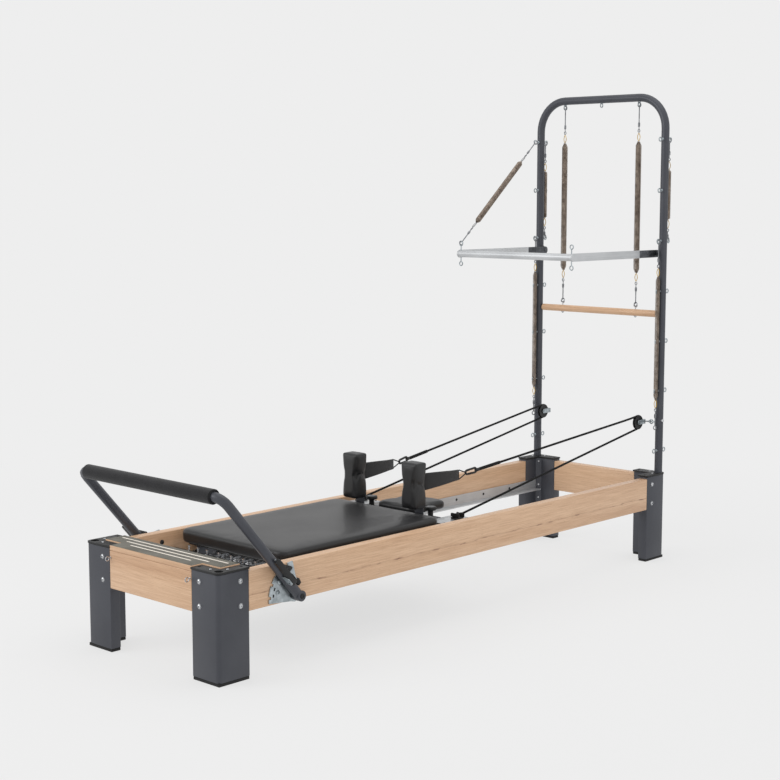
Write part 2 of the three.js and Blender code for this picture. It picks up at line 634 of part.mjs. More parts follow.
function addIndexPlates() {
  const degree = Math.PI / 180;
  const spot = (lean, radius) => [BAR_PIVOT_Y - radius * Math.sin(lean * degree),
    BAR_PIVOT_Z + radius * Math.cos(lean * degree)];
  const outline = [];
  const notchHalf = 2.6;
  for (let lean = 4; lean <= 96; lean += 4) {
    const inNotch = INDEX_LEANS.some((notch) => Math.abs(notch - lean) <= notchHalf + 1);
    if (!inNotch) outline.push([lean, INDEX_RADIUS]);
  }
  for (const notch of INDEX_LEANS) {
    outline.push([notch - notchHalf, INDEX_RADIUS], [notch - notchHalf + 0.01, INDEX_RADIUS - 9]);
    outline.push([notch + notchHalf - 0.01, INDEX_RADIUS - 9], [notch + notchHalf, INDEX_RADIUS]);
  }
  outline.sort((a, b) => a[0] - b[0]);
  const rim = outline.map(([lean, radius]) => spot(lean, radius));
  const hub = [spot(140, 26), spot(180, 24), spot(-140, 24), spot(-90, 22), spot(-40, 24)];
  for (const [side, sign] of SIDES) {
    const inner = sign > 0 ? HALF_WIDTH + GAP : -HALF_WIDTH - GAP - INDEX_THICK;
    const plate = sidePlate(polygon([...rim, ...hub]), inner, inner + INDEX_THICK);
    const hole = rod([sign * (HALF_WIDTH - 2), BAR_PIVOT_Y, BAR_PIVOT_Z],
      [sign * (HALF_WIDTH + 10), BAR_PIVOT_Y, BAR_PIVOT_Z], 9 + GAP, 14);
    addPiece(`${side}_index_plate`, cut(plate, hole), zinc);
  }
}

function addLatchLevers() {
  const handle = [[68, 22], [176, 20.5], [182, 24], [180, 37], [172, 39], [84, 39], [68, 36]];
  const slot = [[74.5, 26.5], [95.5, 26.5], [95.5, 33.5], [74.5, 33.5]];
  const neck = [[116, 5], [126, 5], [126, 26], [116, 26]];
  const bridge = [[116, 18], [126, 18], [126, 26], [116, 26]];
  const nose = [[112, -5], [122, -5], [126, 12], [126, 26], [116, 26], [112, 12]];
  for (const [side, sign] of SIDES) {
    const span = (a, b) => [Math.min(sign * a, sign * b), Math.max(sign * a, sign * b)];
    const lever = join(
      sidePocket(handle, sign, -9.5, 9.5),
      armPlate(neck, ...span(BAR_X + 23, BAR_X + 35)),
      armPlate(bridge, ...span(336, BAR_X + 34)),
      armPlate(nose, ...span(334.5, 338.3)));
    addPiece(`${side}_latch_lever`, cut(lever, sidePocket(slot, sign, -12, 12)), blackPlastic);
  }
}

// ---- tower fittings ----
function addPushBar() {
  const end = PUSH_ARM_INNER_X - GAP;
  const axis = [-end, end].map((x) => [x, PUSH_BAR_Y, PUSH_PIVOT_Z]);
  const pieces = [rod(...axis, PUSH_BAR_RADIUS, 20)];
  for (const x of [-PUSH_EYE_X, PUSH_EYE_X]) {
    const reach = PUSH_EYE_Z - PUSH_PIVOT_Z - EYE_RING + 1;
    pieces.push(rod([x, PUSH_BAR_Y, PUSH_PIVOT_Z - reach], [x, PUSH_BAR_Y, PUSH_PIVOT_Z + reach], 3, 6));
    pieces.push(eyeRing(x, PUSH_BAR_Y, PUSH_EYE_Z), eyeRing(x, PUSH_BAR_Y, 2 * PUSH_PIVOT_Z - PUSH_EYE_Z));
  }
  addPiece('push_bar', join(...pieces), aluminium);
  for (const [side, sign] of SIDES) {
    const half = PUSH_ARM_HEIGHT / 2;
    const arm = new THREE.Shape();
    arm.absarc(TOWER_Y, PUSH_PIVOT_Z, half, -Math.PI / 2, Math.PI / 2);
    arm.absarc(PUSH_BAR_Y, PUSH_PIVOT_Z, half, Math.PI / 2, Math.PI * 1.5);
    const inner = sign > 0 ? PUSH_ARM_INNER_X : -PUSH_ARM_INNER_X - PUSH_ARM_THICK;
    const spacerEnd = TOWER_X - TOWER_RADIUS - GAP;
    const spacer = [PUSH_ARM_INNER_X + 2, spacerEnd].map((x) => [sign * x, TOWER_Y, PUSH_PIVOT_Z]);
    addPiece(`${side}_push_arm`,
      join(sidePlate(arm, inner, inner + PUSH_ARM_THICK, 8), rod(...spacer, 9, 14)), aluminium);
  }
}

function addPushSpring() {
  const top = new THREE.Vector3(-TOWER_X, TOWER_Y - EYE_REACH, EYE_TOP_Z);
  const low = new THREE.Vector3(-PUSH_EYE_X, PUSH_BAR_Y, PUSH_EYE_Z);
  const way = low.clone().sub(top).normalize();
  const clear = EYE_RING + EYE_WIRE + 1;
  top.addScaledVector(way, clear);
  low.addScaledVector(way, -clear);
  const length = top.distanceTo(low);
  const profile = [[0, 0], [4, 0], [4, 78], [11, 92], [11, length - 150], [4, length - 136],
    [4, length], [0, length]];
  addPiece('push_spring', turned(profile, top.toArray(), low.toArray(), 12), springSteel);
}

function addRollDown() {
  const eyeZ = ROLL_BAR_Z + 30;
  const pieces = [rod([-ROLL_BAR_HALF, TOWER_Y, ROLL_BAR_Z], [ROLL_BAR_HALF, TOWER_Y, ROLL_BAR_Z],
    ROLL_BAR_RADIUS, 20)];
  for (const x of [-ROLL_EYE_X, ROLL_EYE_X]) {
    pieces.push(rod([x, TOWER_Y, ROLL_BAR_Z], [x, TOWER_Y, eyeZ - EYE_RING + 1], 3, 6));
    pieces.push(eyeRing(x, TOWER_Y, eyeZ));
  }
  addPiece('roll_bar', join(...pieces), maple);
  const clear = EYE_RING + EYE_WIRE + 1;
  const bottom = eyeZ + clear;
  const length = ARCH_EYE_Z - clear - bottom;
  const springLow = 1171 - bottom;
  const springHigh = 1704 - bottom;
  const profile = [[0, 0], [4, 0], [4, springLow], [12.5, springLow + 12], [12.5, springHigh - 12],
    [4, springHigh], [4, length], [0, length]];
  for (const [side, sign] of SIDES) {
    const x = sign * ROLL_EYE_X;
    const spring = turned(profile, [x, TOWER_Y, bottom], [x, TOWER_Y, bottom + 1], 12);
    addPiece(`${side}_roll_spring`, spring, springSteel);
  }
}

addLegs();
addRailsAndBoards();
addPlatform();
addTracks();
addTower();
addSpringBar();
addCarriageSprings();
addCarriageFrame();
addWheels();
addPads();
addShoulderRests();
addCleats();
addPulleys();
addRopes();
addStraps();
addFootbar();
addIndexPlates();
addLatchLevers();
addPushBar();
addPushSpring();
addRollDown();

export default group;
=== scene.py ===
import math
import bmesh
import bpy
from mathutils import Matrix, Vector


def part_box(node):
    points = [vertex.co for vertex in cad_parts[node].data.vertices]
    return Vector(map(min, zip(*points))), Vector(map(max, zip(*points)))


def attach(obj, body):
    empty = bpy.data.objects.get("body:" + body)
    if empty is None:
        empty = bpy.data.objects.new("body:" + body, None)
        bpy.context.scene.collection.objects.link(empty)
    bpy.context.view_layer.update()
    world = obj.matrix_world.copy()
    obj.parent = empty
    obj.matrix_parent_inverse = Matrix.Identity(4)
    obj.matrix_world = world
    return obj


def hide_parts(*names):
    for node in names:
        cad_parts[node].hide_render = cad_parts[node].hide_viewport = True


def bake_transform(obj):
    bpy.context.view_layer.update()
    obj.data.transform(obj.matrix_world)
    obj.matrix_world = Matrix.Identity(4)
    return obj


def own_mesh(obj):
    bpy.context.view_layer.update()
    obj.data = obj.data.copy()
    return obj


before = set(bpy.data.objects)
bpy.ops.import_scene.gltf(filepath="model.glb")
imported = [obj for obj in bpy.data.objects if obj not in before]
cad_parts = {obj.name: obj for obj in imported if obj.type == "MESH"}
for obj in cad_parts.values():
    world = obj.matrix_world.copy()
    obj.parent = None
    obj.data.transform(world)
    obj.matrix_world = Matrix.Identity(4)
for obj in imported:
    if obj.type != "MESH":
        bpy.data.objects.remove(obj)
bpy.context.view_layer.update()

bpy.ops.object.select_all(action="DESELECT")

# ---------------------------------------------------------------------------------------------
# Camera, floor and lights: a long lens at standing height off the near front corner, a pale
# floor that runs out into the backdrop, and broad soft lights as in a studio.
FOOT_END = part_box("front_board")[0].y


def at(x, y, z):
    """A point of the bench, in millimetres: across from the middle, from the foot end, up."""
    return Vector((x / 1000, FOOT_END + y / 1000, z / 1000))


bpy.ops.object.camera_add(location=(3.9194, -4.2345, 1.5033),
                          rotation=(math.radians(82.82), 0, math.radians(43.51)))
camera = bpy.context.object
camera.data.lens = 72.78
camera.data.sensor_width = 36
bpy.context.scene.camera = camera


def paint(code):
    """A linear colour from a colour chart code such as C8A684."""
    parts = [int(code[i:i + 2], 16) / 255 for i in (0, 2, 4)]
    return tuple(p / 12.92 if p < 0.04045 else ((p + 0.055) / 1.055) ** 2.4 for p in parts) + (1,)


BACKDROP = paint("EEEEEE")
scene = bpy.context.scene
scene.view_settings.view_transform = "Standard"
scene.world = bpy.data.worlds.new("studio")
scene.world.use_nodes = True
scene.world.node_tree.nodes["Background"].inputs["Color"].default_value = BACKDROP
scene.world.node_tree.nodes["Background"].inputs["Strength"].default_value = 1.0

bpy.ops.mesh.primitive_circle_add(vertices=96, radius=30, fill_type="NGON", location=(0, 0, -0.0006))
floor = bpy.context.object
floor.name = "studio_floor"
bpy.ops.object.transform_apply()
floor_paint = bpy.data.materials.new("studio floor")
floor_paint.use_nodes = True
nodes, links = floor_paint.node_tree.nodes, floor_paint.node_tree.links
nodes["Principled BSDF"].inputs["Base Color"].default_value = paint("E4E4E4")
nodes["Principled BSDF"].inputs["Roughness"].default_value = 0.9
nodes["Principled BSDF"].inputs["Specular IOR Level"].default_value = 0.0
glow = nodes.new("ShaderNodeEmission")
glow.inputs["Color"].default_value = BACKDROP
place = nodes.new("ShaderNodeTexCoord")
reach = nodes.new("ShaderNodeVectorMath")
reach.operation = "LENGTH"
fade = nodes.new("ShaderNodeMapRange")
fade.interpolation_type = "SMOOTHSTEP"
fade.inputs["From Min"].default_value = 1.6
fade.inputs["From Max"].default_value = 3.6
fade.inputs["To Min"].default_value = 0.78
mix = nodes.new("ShaderNodeMixShader")
links.new(place.outputs["Object"], reach.inputs[0])
links.new(reach.outputs["Value"], fade.inputs["Value"])
links.new(fade.outputs["Result"], mix.inputs["Fac"])
links.new(nodes["Principled BSDF"].outputs["BSDF"], mix.inputs[1])
links.new(glow.outputs["Emission"], mix.inputs[2])
links.new(mix.outputs["Shader"], nodes["Material Output"].inputs["Surface"])
floor.data.materials.append(floor_paint)

for name, spot, power, size in (("front_key", (-2.4, -4.6, 3.0), 74, 2.6),
                                ("top_bank", (0.4, 0.3, 4.2), 34, 3.4),
                                ("side_fill", (4.4, 0.8, 1.6), 9, 2.4)):
    bpy.ops.object.light_add(type="AREA", location=spot)
    light = bpy.context.object
    light.name = name
    light.data.energy = power
    light.data.size = size
    light.rotation_euler = (Vector((0, 0, 0.6)) - light.location).to_track_quat("-Z", "Y").to_euler()

# ---------------------------------------------------------------------------------------------
# Ropes: black braided cord, 8.5 mm, one from each carriage cleat up to its pulley and back down
# to the strap clip, with the turn laid on its sheave.
ROPE_RADIUS = 4.25
PULLEY = at(246, 2327, 563)
ROPE_TURN = 0.026
STRAP_ROPE_END = at(176, 1405, 478)
CLEAT_ROPE_END = at(243, 1240, 346)
IN_LINE = 0.060
ROPE_STEPS = 20
TURN_STEPS = 24


def finish(name, roughness, metallic=0.0, specular=0.5, sheen=0.0, coat=0.0):
    """A new material: the plain numbers of its surface, before any pattern is laid in it."""
    made = bpy.data.materials.new(name)
    made.use_nodes = True
    shader = made.node_tree.nodes["Principled BSDF"]
    shader.inputs["Roughness"].default_value = roughness
    shader.inputs["Metallic"].default_value = metallic
    shader.inputs["Specular IOR Level"].default_value = specular
    shader.inputs["Sheen Weight"].default_value = sheen
    shader.inputs["Coat Weight"].default_value = coat
    return made


def pattern(made, kind, stretch=(1, 1, 1), turn=(0, 0, 0), source="Object", **settings):
    """A noise, wave or cell pattern on the piece's own coordinates, stretched and turned."""
    nodes, links = made.node_tree.nodes, made.node_tree.links
    coords = nodes.new("ShaderNodeTexCoord")
    lay = nodes.new("ShaderNodeMapping")
    lay.inputs["Scale"].default_value = stretch
    lay.inputs["Rotation"].default_value = turn
    texture = nodes.new("ShaderNodeTex" + kind)
    for key, value in settings.items():
        if hasattr(texture, key):
            setattr(texture, key, value)
        else:
            texture.inputs[key.replace("_", " ").title()].default_value = value
    links.new(coords.outputs[source], lay.inputs["Vector"])
    links.new(lay.outputs["Vector"], texture.inputs["Vector"])
    return texture.outputs[0]


def tones(made, factor, *stops):
    """Colours along a pattern: stops are (where, colour code) pairs."""
    ramp = made.node_tree.nodes.new("ShaderNodeValToRGB")
    while len(ramp.color_ramp.elements) < len(stops):
        ramp.color_ramp.elements.new(0.5)
    for element, (where, code) in zip(ramp.color_ramp.elements, stops):
        element.position = where
        element.color = paint(code)
    made.node_tree.links.new(factor, ramp.inputs["Fac"])
    return ramp.outputs["Color"]


def blended(made, way, amount, first, second):
    """Two colours or patterns laid over each other, as MULTIPLY, MIX or OVERLAY."""
    mixer = made.node_tree.nodes.new("ShaderNodeMix")
    mixer.data_type = "RGBA"
    mixer.blend_type = way
    if isinstance(amount, (int, float)):
        mixer.inputs[0].default_value = amount
    else:
        made.node_tree.links.new(amount, mixer.inputs[0])
    for value, socket in ((first, mixer.inputs[6]), (second, mixer.inputs[7])):
        if isinstance(value, str):
            socket.default_value = paint(value)
        else:
            made.node_tree.links.new(value, socket)
    return mixer.outputs[2]


def colour(made, value):
    """Sets the surface colour to a pattern's colour."""
    made.node_tree.links.new(value, made.node_tree.nodes["Principled BSDF"].inputs["Base Color"])


def relief(made, height, depth, strength=0.6):
    """Raises the surface by a pattern: depth in metres. A second relief adds to the first."""
    nodes, links = made.node_tree.nodes, made.node_tree.links
    bump = nodes.new("ShaderNodeBump")
    bump.inputs["Strength"].default_value = strength
    bump.inputs["Distance"].default_value = depth
    normal = nodes["Principled BSDF"].inputs["Normal"]
    if normal.is_linked:
        links.new(normal.links[0].from_socket, bump.inputs["Normal"])
    links.new(height, bump.inputs["Height"])
    links.new(bump.outputs["Normal"], normal)


def wear(made, factor, low, high):
    """Lets the roughness run between two values along a pattern."""
    spread = made.node_tree.nodes.new("ShaderNodeMapRange")
    spread.inputs["To Min"].default_value = low
    spread.inputs["To Max"].default_value = high
    made.node_tree.links.new(factor, spread.inputs["Value"])
    rough = made.node_tree.nodes["Principled BSDF"].inputs["Roughness"]
    made.node_tree.links.new(spread.outputs["Result"], rough)


braid = finish("braided cord", 0.85, specular=0.3)
strand_right = pattern(braid, "Wave", (1, 1, 1), (0, 0, 0.7), "UV", bands_direction="X", scale=1.1)
strand_left = pattern(braid, "Wave", (1, 1, 1), (0, 0, -0.7), "UV", bands_direction="X", scale=1.1)
strands = blended(braid, "MULTIPLY", 1.0, strand_right, strand_left)
colour(braid, tones(braid, strands, (0.0, "060607"), (0.6, "121213"), (1.0, "1C1C1E")))
relief(braid, strands, 0.0006)


def swept(name, points, section, material, upright=Vector((0, 0, 1))):
    """A cord, wire or strap: a section of (side, up) offsets carried along its route, its UV in
    turns across and centimetres along."""
    count, span = len(section), 0.0
    mesh = bmesh.new()
    rings, lengths = [], []
    for i, point in enumerate(points):
        way = (points[min(i + 1, len(points) - 1)] - points[max(i - 1, 0)]).normalized()
        side = way.cross(upright)
        side = side.normalized() if side.length > 0.05 else Vector((1, 0, 0))
        up = side.cross(way)
        rings.append([mesh.verts.new(point + side * a + up * b) for a, b in section])
        span += (point - points[i - 1]).length if i else 0.0
        lengths.append(span * 100)
    layer = mesh.loops.layers.uv.new("UVMap")
    for i in range(len(rings) - 1):
        for k in range(count):
            after = (k + 1) % count
            face = mesh.faces.new((rings[i][k], rings[i][after], rings[i + 1][after], rings[i + 1][k]))
            spots = ((k, i), (k + 1, i), (k + 1, i + 1), (k, i + 1))
            for loop, (across, along) in zip(face.loops, spots):
                loop[layer].uv = (across / count * 4, lengths[along])
    for ring in (rings[0], rings[-1]):
        mesh.faces.new(ring)
    bmesh.ops.recalc_face_normals(mesh, faces=mesh.faces)
    data = bpy.data.meshes.new(name)
    mesh.to_mesh(data)
    mesh.free()
    piece = bpy.data.objects.new(name, data)
    scene.collection.objects.link(piece)
    data.materials.append(material)
    for polygon in data.polygons:
        polygon.use_smooth = True
    return piece


def round_section(radius, sides=14):
    """A cord's round section, in metres."""
    turns = [2 * math.pi * k / sides for k in range(sides)]
    return [(radius * math.cos(t), radius * math.sin(t)) for t in turns]


def rope_run(start, end, sign):
    """A straight leg of rope that comes into line with its sheave just before it."""
    aligned = 1 - IN_LINE / (end - start).length
    run = [start.lerp(end, k / ROPE_STEPS) for k in range(ROPE_STEPS + 1)]
    for k, point in enumerate(run):
        point.x = sign * (start.x + (end.x - start.x) * min(1, k / ROPE_STEPS / aligned))
    return run


def rope_piece(name, route, squashed_to=None):
    """One leg of rope, attached to the frame. A leg given an end in squashed_to gets a mesh of its own."""
    piece = swept(name, route, round_section(ROPE_RADIUS / 1000), braid)
    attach(piece, "frame")
    if squashed_to is not None:
        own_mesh(piece)
    return piece


top_slope = math.atan2(PULLEY.z + ROPE_TURN - STRAP_ROPE_END.z, PULLEY.y - STRAP_ROPE_END.y)
low_slope = math.atan2(PULLEY.z - ROPE_TURN - CLEAT_ROPE_END.z, PULLEY.y - CLEAT_ROPE_END.y)
top_leaves = PULLEY + ROPE_TURN * Vector((0, -math.sin(top_slope), math.cos(top_slope)))
low_leaves = PULLEY + ROPE_TURN * Vector((0, math.sin(low_slope), -math.cos(low_slope)))
SIDES = (("near", 1), ("far", -1))
for side, sign in SIDES:
    strap_leg = rope_piece(f"{side}_rope_to_strap", rope_run(STRAP_ROPE_END, top_leaves, sign), top_leaves)
    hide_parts(f"{side}_strap_rope")
    cleat_leg = rope_piece(f"{side}_rope_to_cleat", rope_run(CLEAT_ROPE_END, low_leaves, sign), low_leaves)
    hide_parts(f"{side}_carriage_rope")
    turn_from, turn_to = low_slope - math.pi / 2, top_slope + math.pi / 2
    angles = [turn_from + (turn_to - turn_from) * k / TURN_STEPS for k in range(TURN_STEPS + 1)]
    around = [Vector((sign * PULLEY.x, PULLEY.y + ROPE_TURN * math.cos(t),
                      PULLEY.z + ROPE_TURN * math.sin(t))) for t in angles]
    rope_piece(f"{side}_rope_turn", around)

# ---------------------------------------------------------------------------------------------
# Rails and boards: hard maple planks, 38 mm thick, planed, with eased edges and a clear satin
# lacquer. They are bolted between the steel legs, the rails lengthwise and the boards across.
PLANK_EASE = 0.0025


def settle(piece, name):
    """Names a new object and puts its place and size into its mesh."""
    piece.name = piece.data.name = name
    bpy.ops.object.select_all(action="DESELECT")
    piece.select_set(True)
    bpy.context.view_layer.objects.active = piece
    bpy.ops.object.transform_apply(location=True, rotation=True, scale=True)
    return piece


def slab(name, low, high):
    """A cube drawn out to the box between two corners, ready to be cut and extruded."""
    low, high = (Vector(map(extreme, low, high)) for extreme in (min, max))
    bpy.ops.mesh.primitive_cube_add(size=1, location=(low + high) / 2)
    bpy.context.object.scale = high - low
    return settle(bpy.context.object, name)


def modified(piece, kind, **settings):
    """Adds one modifier, sets it and applies it."""
    bpy.ops.object.select_all(action="DESELECT")
    piece.select_set(True)
    bpy.context.view_layer.objects.active = piece
    modifier = piece.modifiers.new(kind.lower(), kind)
    for key, value in settings.items():
        setattr(modifier, key, value)
    bpy.ops.object.modifier_apply(modifier=modifier.name)
    return piece


def smooth(piece, degrees=32):
    """Smooth shading that keeps edges sharper than the angle."""
    bpy.ops.object.select_all(action="DESELECT")
    piece.select_set(True)
    bpy.context.view_layer.objects.active = piece
    bpy.ops.object.shade_smooth_by_angle(angle=math.radians(degrees))
    return piece


def eased(piece, width, segments=3):
    """Rounds every edge that turns by more than 30 degrees."""
    modified(piece, "BEVEL", width=width, segments=segments, limit_method="ANGLE",
             angle_limit=math.radians(30), harden_normals=False)
    return smooth(piece, 50)


def seat(piece, body, material, slot, *stands_for):
    """Gives a finished piece its material and its body, and hides the CAD nodes it stands for. The slot is
    not used.
    """
    piece.data.materials.clear()
    piece.data.materials.append(material)
    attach(piece, body)
    if stands_for:
        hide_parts(*stands_for)
    return piece


def maple(name, along, streaked=False):
    """Lacquered maple with its grain running along an axis: broad figure, fine fibres and
    pores, and on one board a brown mineral streak."""
    made = finish(name, 0.42, coat=0.12)
    long_way = [1 if axis == along else 0 for axis in "XYZ"]
    figure = pattern(made, "Noise", [0.8 if one else 17 for one in long_way], scale=1.0, detail=5,
                     roughness=0.5, distortion=0.12)
    fibre = pattern(made, "Noise", [9 if one else 420 for one in long_way], scale=1.0, detail=3)
    pores = pattern(made, "Noise", [60 if one else 900 for one in long_way], scale=1.0, detail=1)
    wood = tones(made, figure, (0.25, "C39C7A"), (0.42, "CFAA88"), (0.6, "D8B594"), (0.8, "CBA582"))
    wood = blended(made, "MULTIPLY", 0.35, wood, tones(made, fibre, (0.35, "B49A84"), (0.62, "FFFFFF")))
    wood = blended(made, "MULTIPLY", 0.3, wood, tones(made, pores, (0.26, "8A6A50"), (0.36, "FFFFFF")))
    if streaked:
        nodes, links = made.node_tree.nodes, made.node_tree.links
        apart = nodes.new("ShaderNodeSeparateXYZ")
        coords = nodes.new("ShaderNodeTexCoord")
        drift = nodes.new("ShaderNodeMath")
        drift.operation = "MULTIPLY_ADD"
        drift.inputs[1].default_value = 0.022
        height = nodes.new("ShaderNodeMath")
        height.operation = "ADD"
        wander = pattern(made, "Noise", (0, 4.5, 0), scale=1.0, detail=5, roughness=0.65)
        width = pattern(made, "Noise", (0, 16, 30), scale=1.0, detail=3)
        links.new(coords.outputs["Object"], apart.inputs["Vector"])
        links.new(wander, drift.inputs[0])
        drift.inputs[2].default_value = -0.277
        links.new(apart.outputs["Z"], height.inputs[0])
        links.new(drift.outputs["Value"], height.inputs[1])
        near_line = nodes.new("ShaderNodeMath")
        near_line.operation = "ABSOLUTE"
        links.new(height.outputs["Value"], near_line.inputs[0])
        band = nodes.new("ShaderNodeMapRange")
        band.inputs["From Min"].default_value = 0.0004
        band.inputs["From Max"].default_value = 0.0038
        band.inputs["To Min"].default_value = 1.0
        band.inputs["To Max"].default_value = 0.0
        links.new(near_line.outputs["Value"], band.inputs["Value"])
        patchy = nodes.new("ShaderNodeMath")
        patchy.operation = "MULTIPLY"
        links.new(band.outputs["Result"], patchy.inputs[0])
        links.new(tones(made, width, (0.3, "3A3A3A"), (0.52, "8C8C8C"), (0.68, "FFFFFF")), patchy.inputs[1])
        wood = blended(made, "MIX", patchy.outputs["Value"], wood, "70442F")
    colour(made, wood)
    wear(made, figure, 0.38, 0.52)
    relief(made, fibre, 0.00012, 0.5)
    return made


maple_along = maple("maple lengthwise", "Y")
maple_streaked = maple("maple lengthwise with a streak", "Y", streaked=True)
maple_across = maple("maple crosswise", "X")
for name, node, wood in (("near_side_rail", "near_rail", maple_streaked),
                         ("far_side_rail", "far_rail", maple_along),
                         ("foot_end_board", "front_board", maple_across),
                         ("tower_end_board", "rear_board", maple_across)):
    plank = eased(slab(name, *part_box(node)), PLANK_EASE)
    seat(plank, "frame", wood, "maple", node)

# ---------------------------------------------------------------------------------------------
# Standing platform: a maple board notched round the two leg tops. A sheet of grey grit tape
# covers it, and three bare strips of wood, each longer than the one before, show through.
PLATFORM_TONGUE = 208.2
PLATFORM_NOTCH = 46
PLATFORM_SIDE = 293
TAPE_THICK = 0.9
STRIPS = ((44.5, 153), (71.5, 208), (99, 268))
STRIP_WIDTH = 6.4


def edit(piece):
    """Opens a piece for edge and face work."""
    bpy.ops.object.select_all(action="DESELECT")
    piece.select_set(True)
    bpy.context.view_layer.objects.active = piece
    bpy.ops.object.mode_set(mode="EDIT")


def done():
    """Closes the piece again with its faces pointing out."""
    bpy.ops.mesh.select_all(action="SELECT")
    bpy.ops.mesh.normals_make_consistent(inside=False)
    bpy.ops.object.mode_set(mode="OBJECT")


def pick(kind, wanted):
    """Selects the faces or edges in edit mode whose middle and direction pass a test."""
    bpy.ops.mesh.select_mode(type=kind)
    bpy.ops.mesh.select_all(action="DESELECT")
    mesh = bmesh.from_edit_mesh(bpy.context.edit_object.data)
    for item in (mesh.faces if kind == "FACE" else mesh.edges):
        middle = sum((v.co for v in item.verts), Vector()) / len(item.verts)
        way = item.normal if kind == "FACE" else (item.verts[1].co - item.verts[0].co).normalized()
        if wanted(middle, way):
            item.select = True
    mesh.select_flush_mode()
    bmesh.update_edit_mesh(bpy.context.edit_object.data)


def bisect(point, normal):
    """Cuts the whole piece along a plane, keeping both halves."""
    bpy.ops.mesh.select_all(action="SELECT")
    bpy.ops.mesh.bisect(plane_co=point, plane_no=normal)


def notched_board(name, inset, bottom, top):
    """The platform's outline: a tongue between the legs, widened behind the notches."""
    low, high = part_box("standing_platform")
    depth = (high.y - FOOT_END) * 1000
    board = slab(name, at(-PLATFORM_TONGUE + inset, inset, bottom),
                 at(PLATFORM_TONGUE - inset, depth - inset, top))
    edit(board)
    bisect(at(0, PLATFORM_NOTCH + inset, 0), (0, 1, 0))
    for sign in (1, -1):
        pick("FACE", lambda m, n: n.x * sign > 0.9 and m.y > at(0, PLATFORM_NOTCH + inset, 0).y)
        widen = (PLATFORM_SIDE - PLATFORM_TONGUE) / 1000 * sign
        bpy.ops.mesh.extrude_region_move(TRANSFORM_OT_translate={"value": (widen, 0, 0)})
    done()
    return board


platform_low, platform_high = (corner.z * 1000 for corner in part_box("standing_platform"))
board = eased(notched_board("standing_board", 0, platform_low, platform_high), 0.0022)
seat(board, "frame", maple_across, "maple", "standing_platform")

grit = finish("grit tape", 0.95, specular=0.2)
grains = pattern(grit, "Noise", (1, 1, 1), scale=1500, detail=2)
patches = pattern(grit, "Noise", (1, 1, 1), scale=18, detail=3)
colour(grit, blended(grit, "MULTIPLY", 0.5, tones(grit, patches, (0.3, "74726A"), (0.7, "86847C")),
                     tones(grit, grains, (0.3, "8A8A88"), (0.7, "FFFFFF"))))
relief(grit, grains, 0.0004, 0.8)
tape = notched_board("grit_tape", 2.4, platform_high, platform_high + TAPE_THICK)
seat(eased(tape, 0.0003, 1), "frame", grit, "maple")

bare_maple = finish("bare maple", 0.5)
bare_fibre = pattern(bare_maple, "Noise", (9, 420, 420), scale=1.0, detail=3)
colour(bare_maple, tones(bare_maple, bare_fibre, (0.3, "E6DACC"), (0.65, "F6EEE4")))
relief(bare_maple, bare_fibre, 0.0001)
for number, (y, half) in enumerate(STRIPS, 1):
    strip = slab(f"bare_strip_{number}", at(-half, y - STRIP_WIDTH / 2, platform_high),
                 at(half, y + STRIP_WIDTH / 2, platform_high + TAPE_THICK + 0.5))
    seat(eased(strip, 0.0003, 1), "frame", bare_maple, "maple")

# ---------------------------------------------------------------------------------------------
# Legs: four folded steel angles with a fine powder coat, a moulded black lid on top and a black
# rubber foot below. The tower legs have a flat strip folded across the inside corner.
LEG_WIDE = 333.5
LEG_ARM = 125
LEG_THICK = 38
LEG_CORNER = 0.015
LEG_TOP = 349
LID_TOP = 356.4
LID_LIP = 2.2
LID_ARM = 45
TUBE_HOLE = (314, 21)
BED_LENGTH = 2400
FOOT_TOP, FOOT_INSET = 10.2, 0.8


def powder_coat(name, dark, light):
    """Charcoal powder coat: faint clouding, fine orange peel and a satin sheen."""
    made = finish(name, 0.42, metallic=0.25, specular=0.5, coat=0.05)
    cloud = pattern(made, "Noise", scale=7, detail=3)
    speck = pattern(made, "Noise", scale=1400, detail=2)
    colour(made, blended(made, "MULTIPLY", 0.25, tones(made, cloud, (0.3, dark), (0.7, light)),
                         tones(made, speck, (0.3, "B0B0B0"), (0.6, "FFFFFF"))))
    wear(made, cloud, 0.36, 0.48)
    relief(made, speck, 0.00015, 0.35)
    return made


def moulded(name, dark, light, roughness=0.5):
    """Injection-moulded black plastic or rubber with a fine spark-eroded grain."""
    made = finish(name, roughness, specular=0.45)
    grain = pattern(made, "Noise", scale=2200, detail=2)
    cloud = pattern(made, "Noise", scale=20, detail=2)
    colour(made, tones(made, cloud, (0.3, dark), (0.7, light)))
    wear(made, cloud, roughness - 0.06, roughness + 0.08)
    relief(made, grain, 0.00012, 0.5)
    return made


charcoal = powder_coat("charcoal powder coat", "3C3E45", "46484F")
black_plastic = moulded("black moulded plastic", "0D0D0E", "141415")
rubber = moulded("black rubber", "101011", "191919", 0.75)


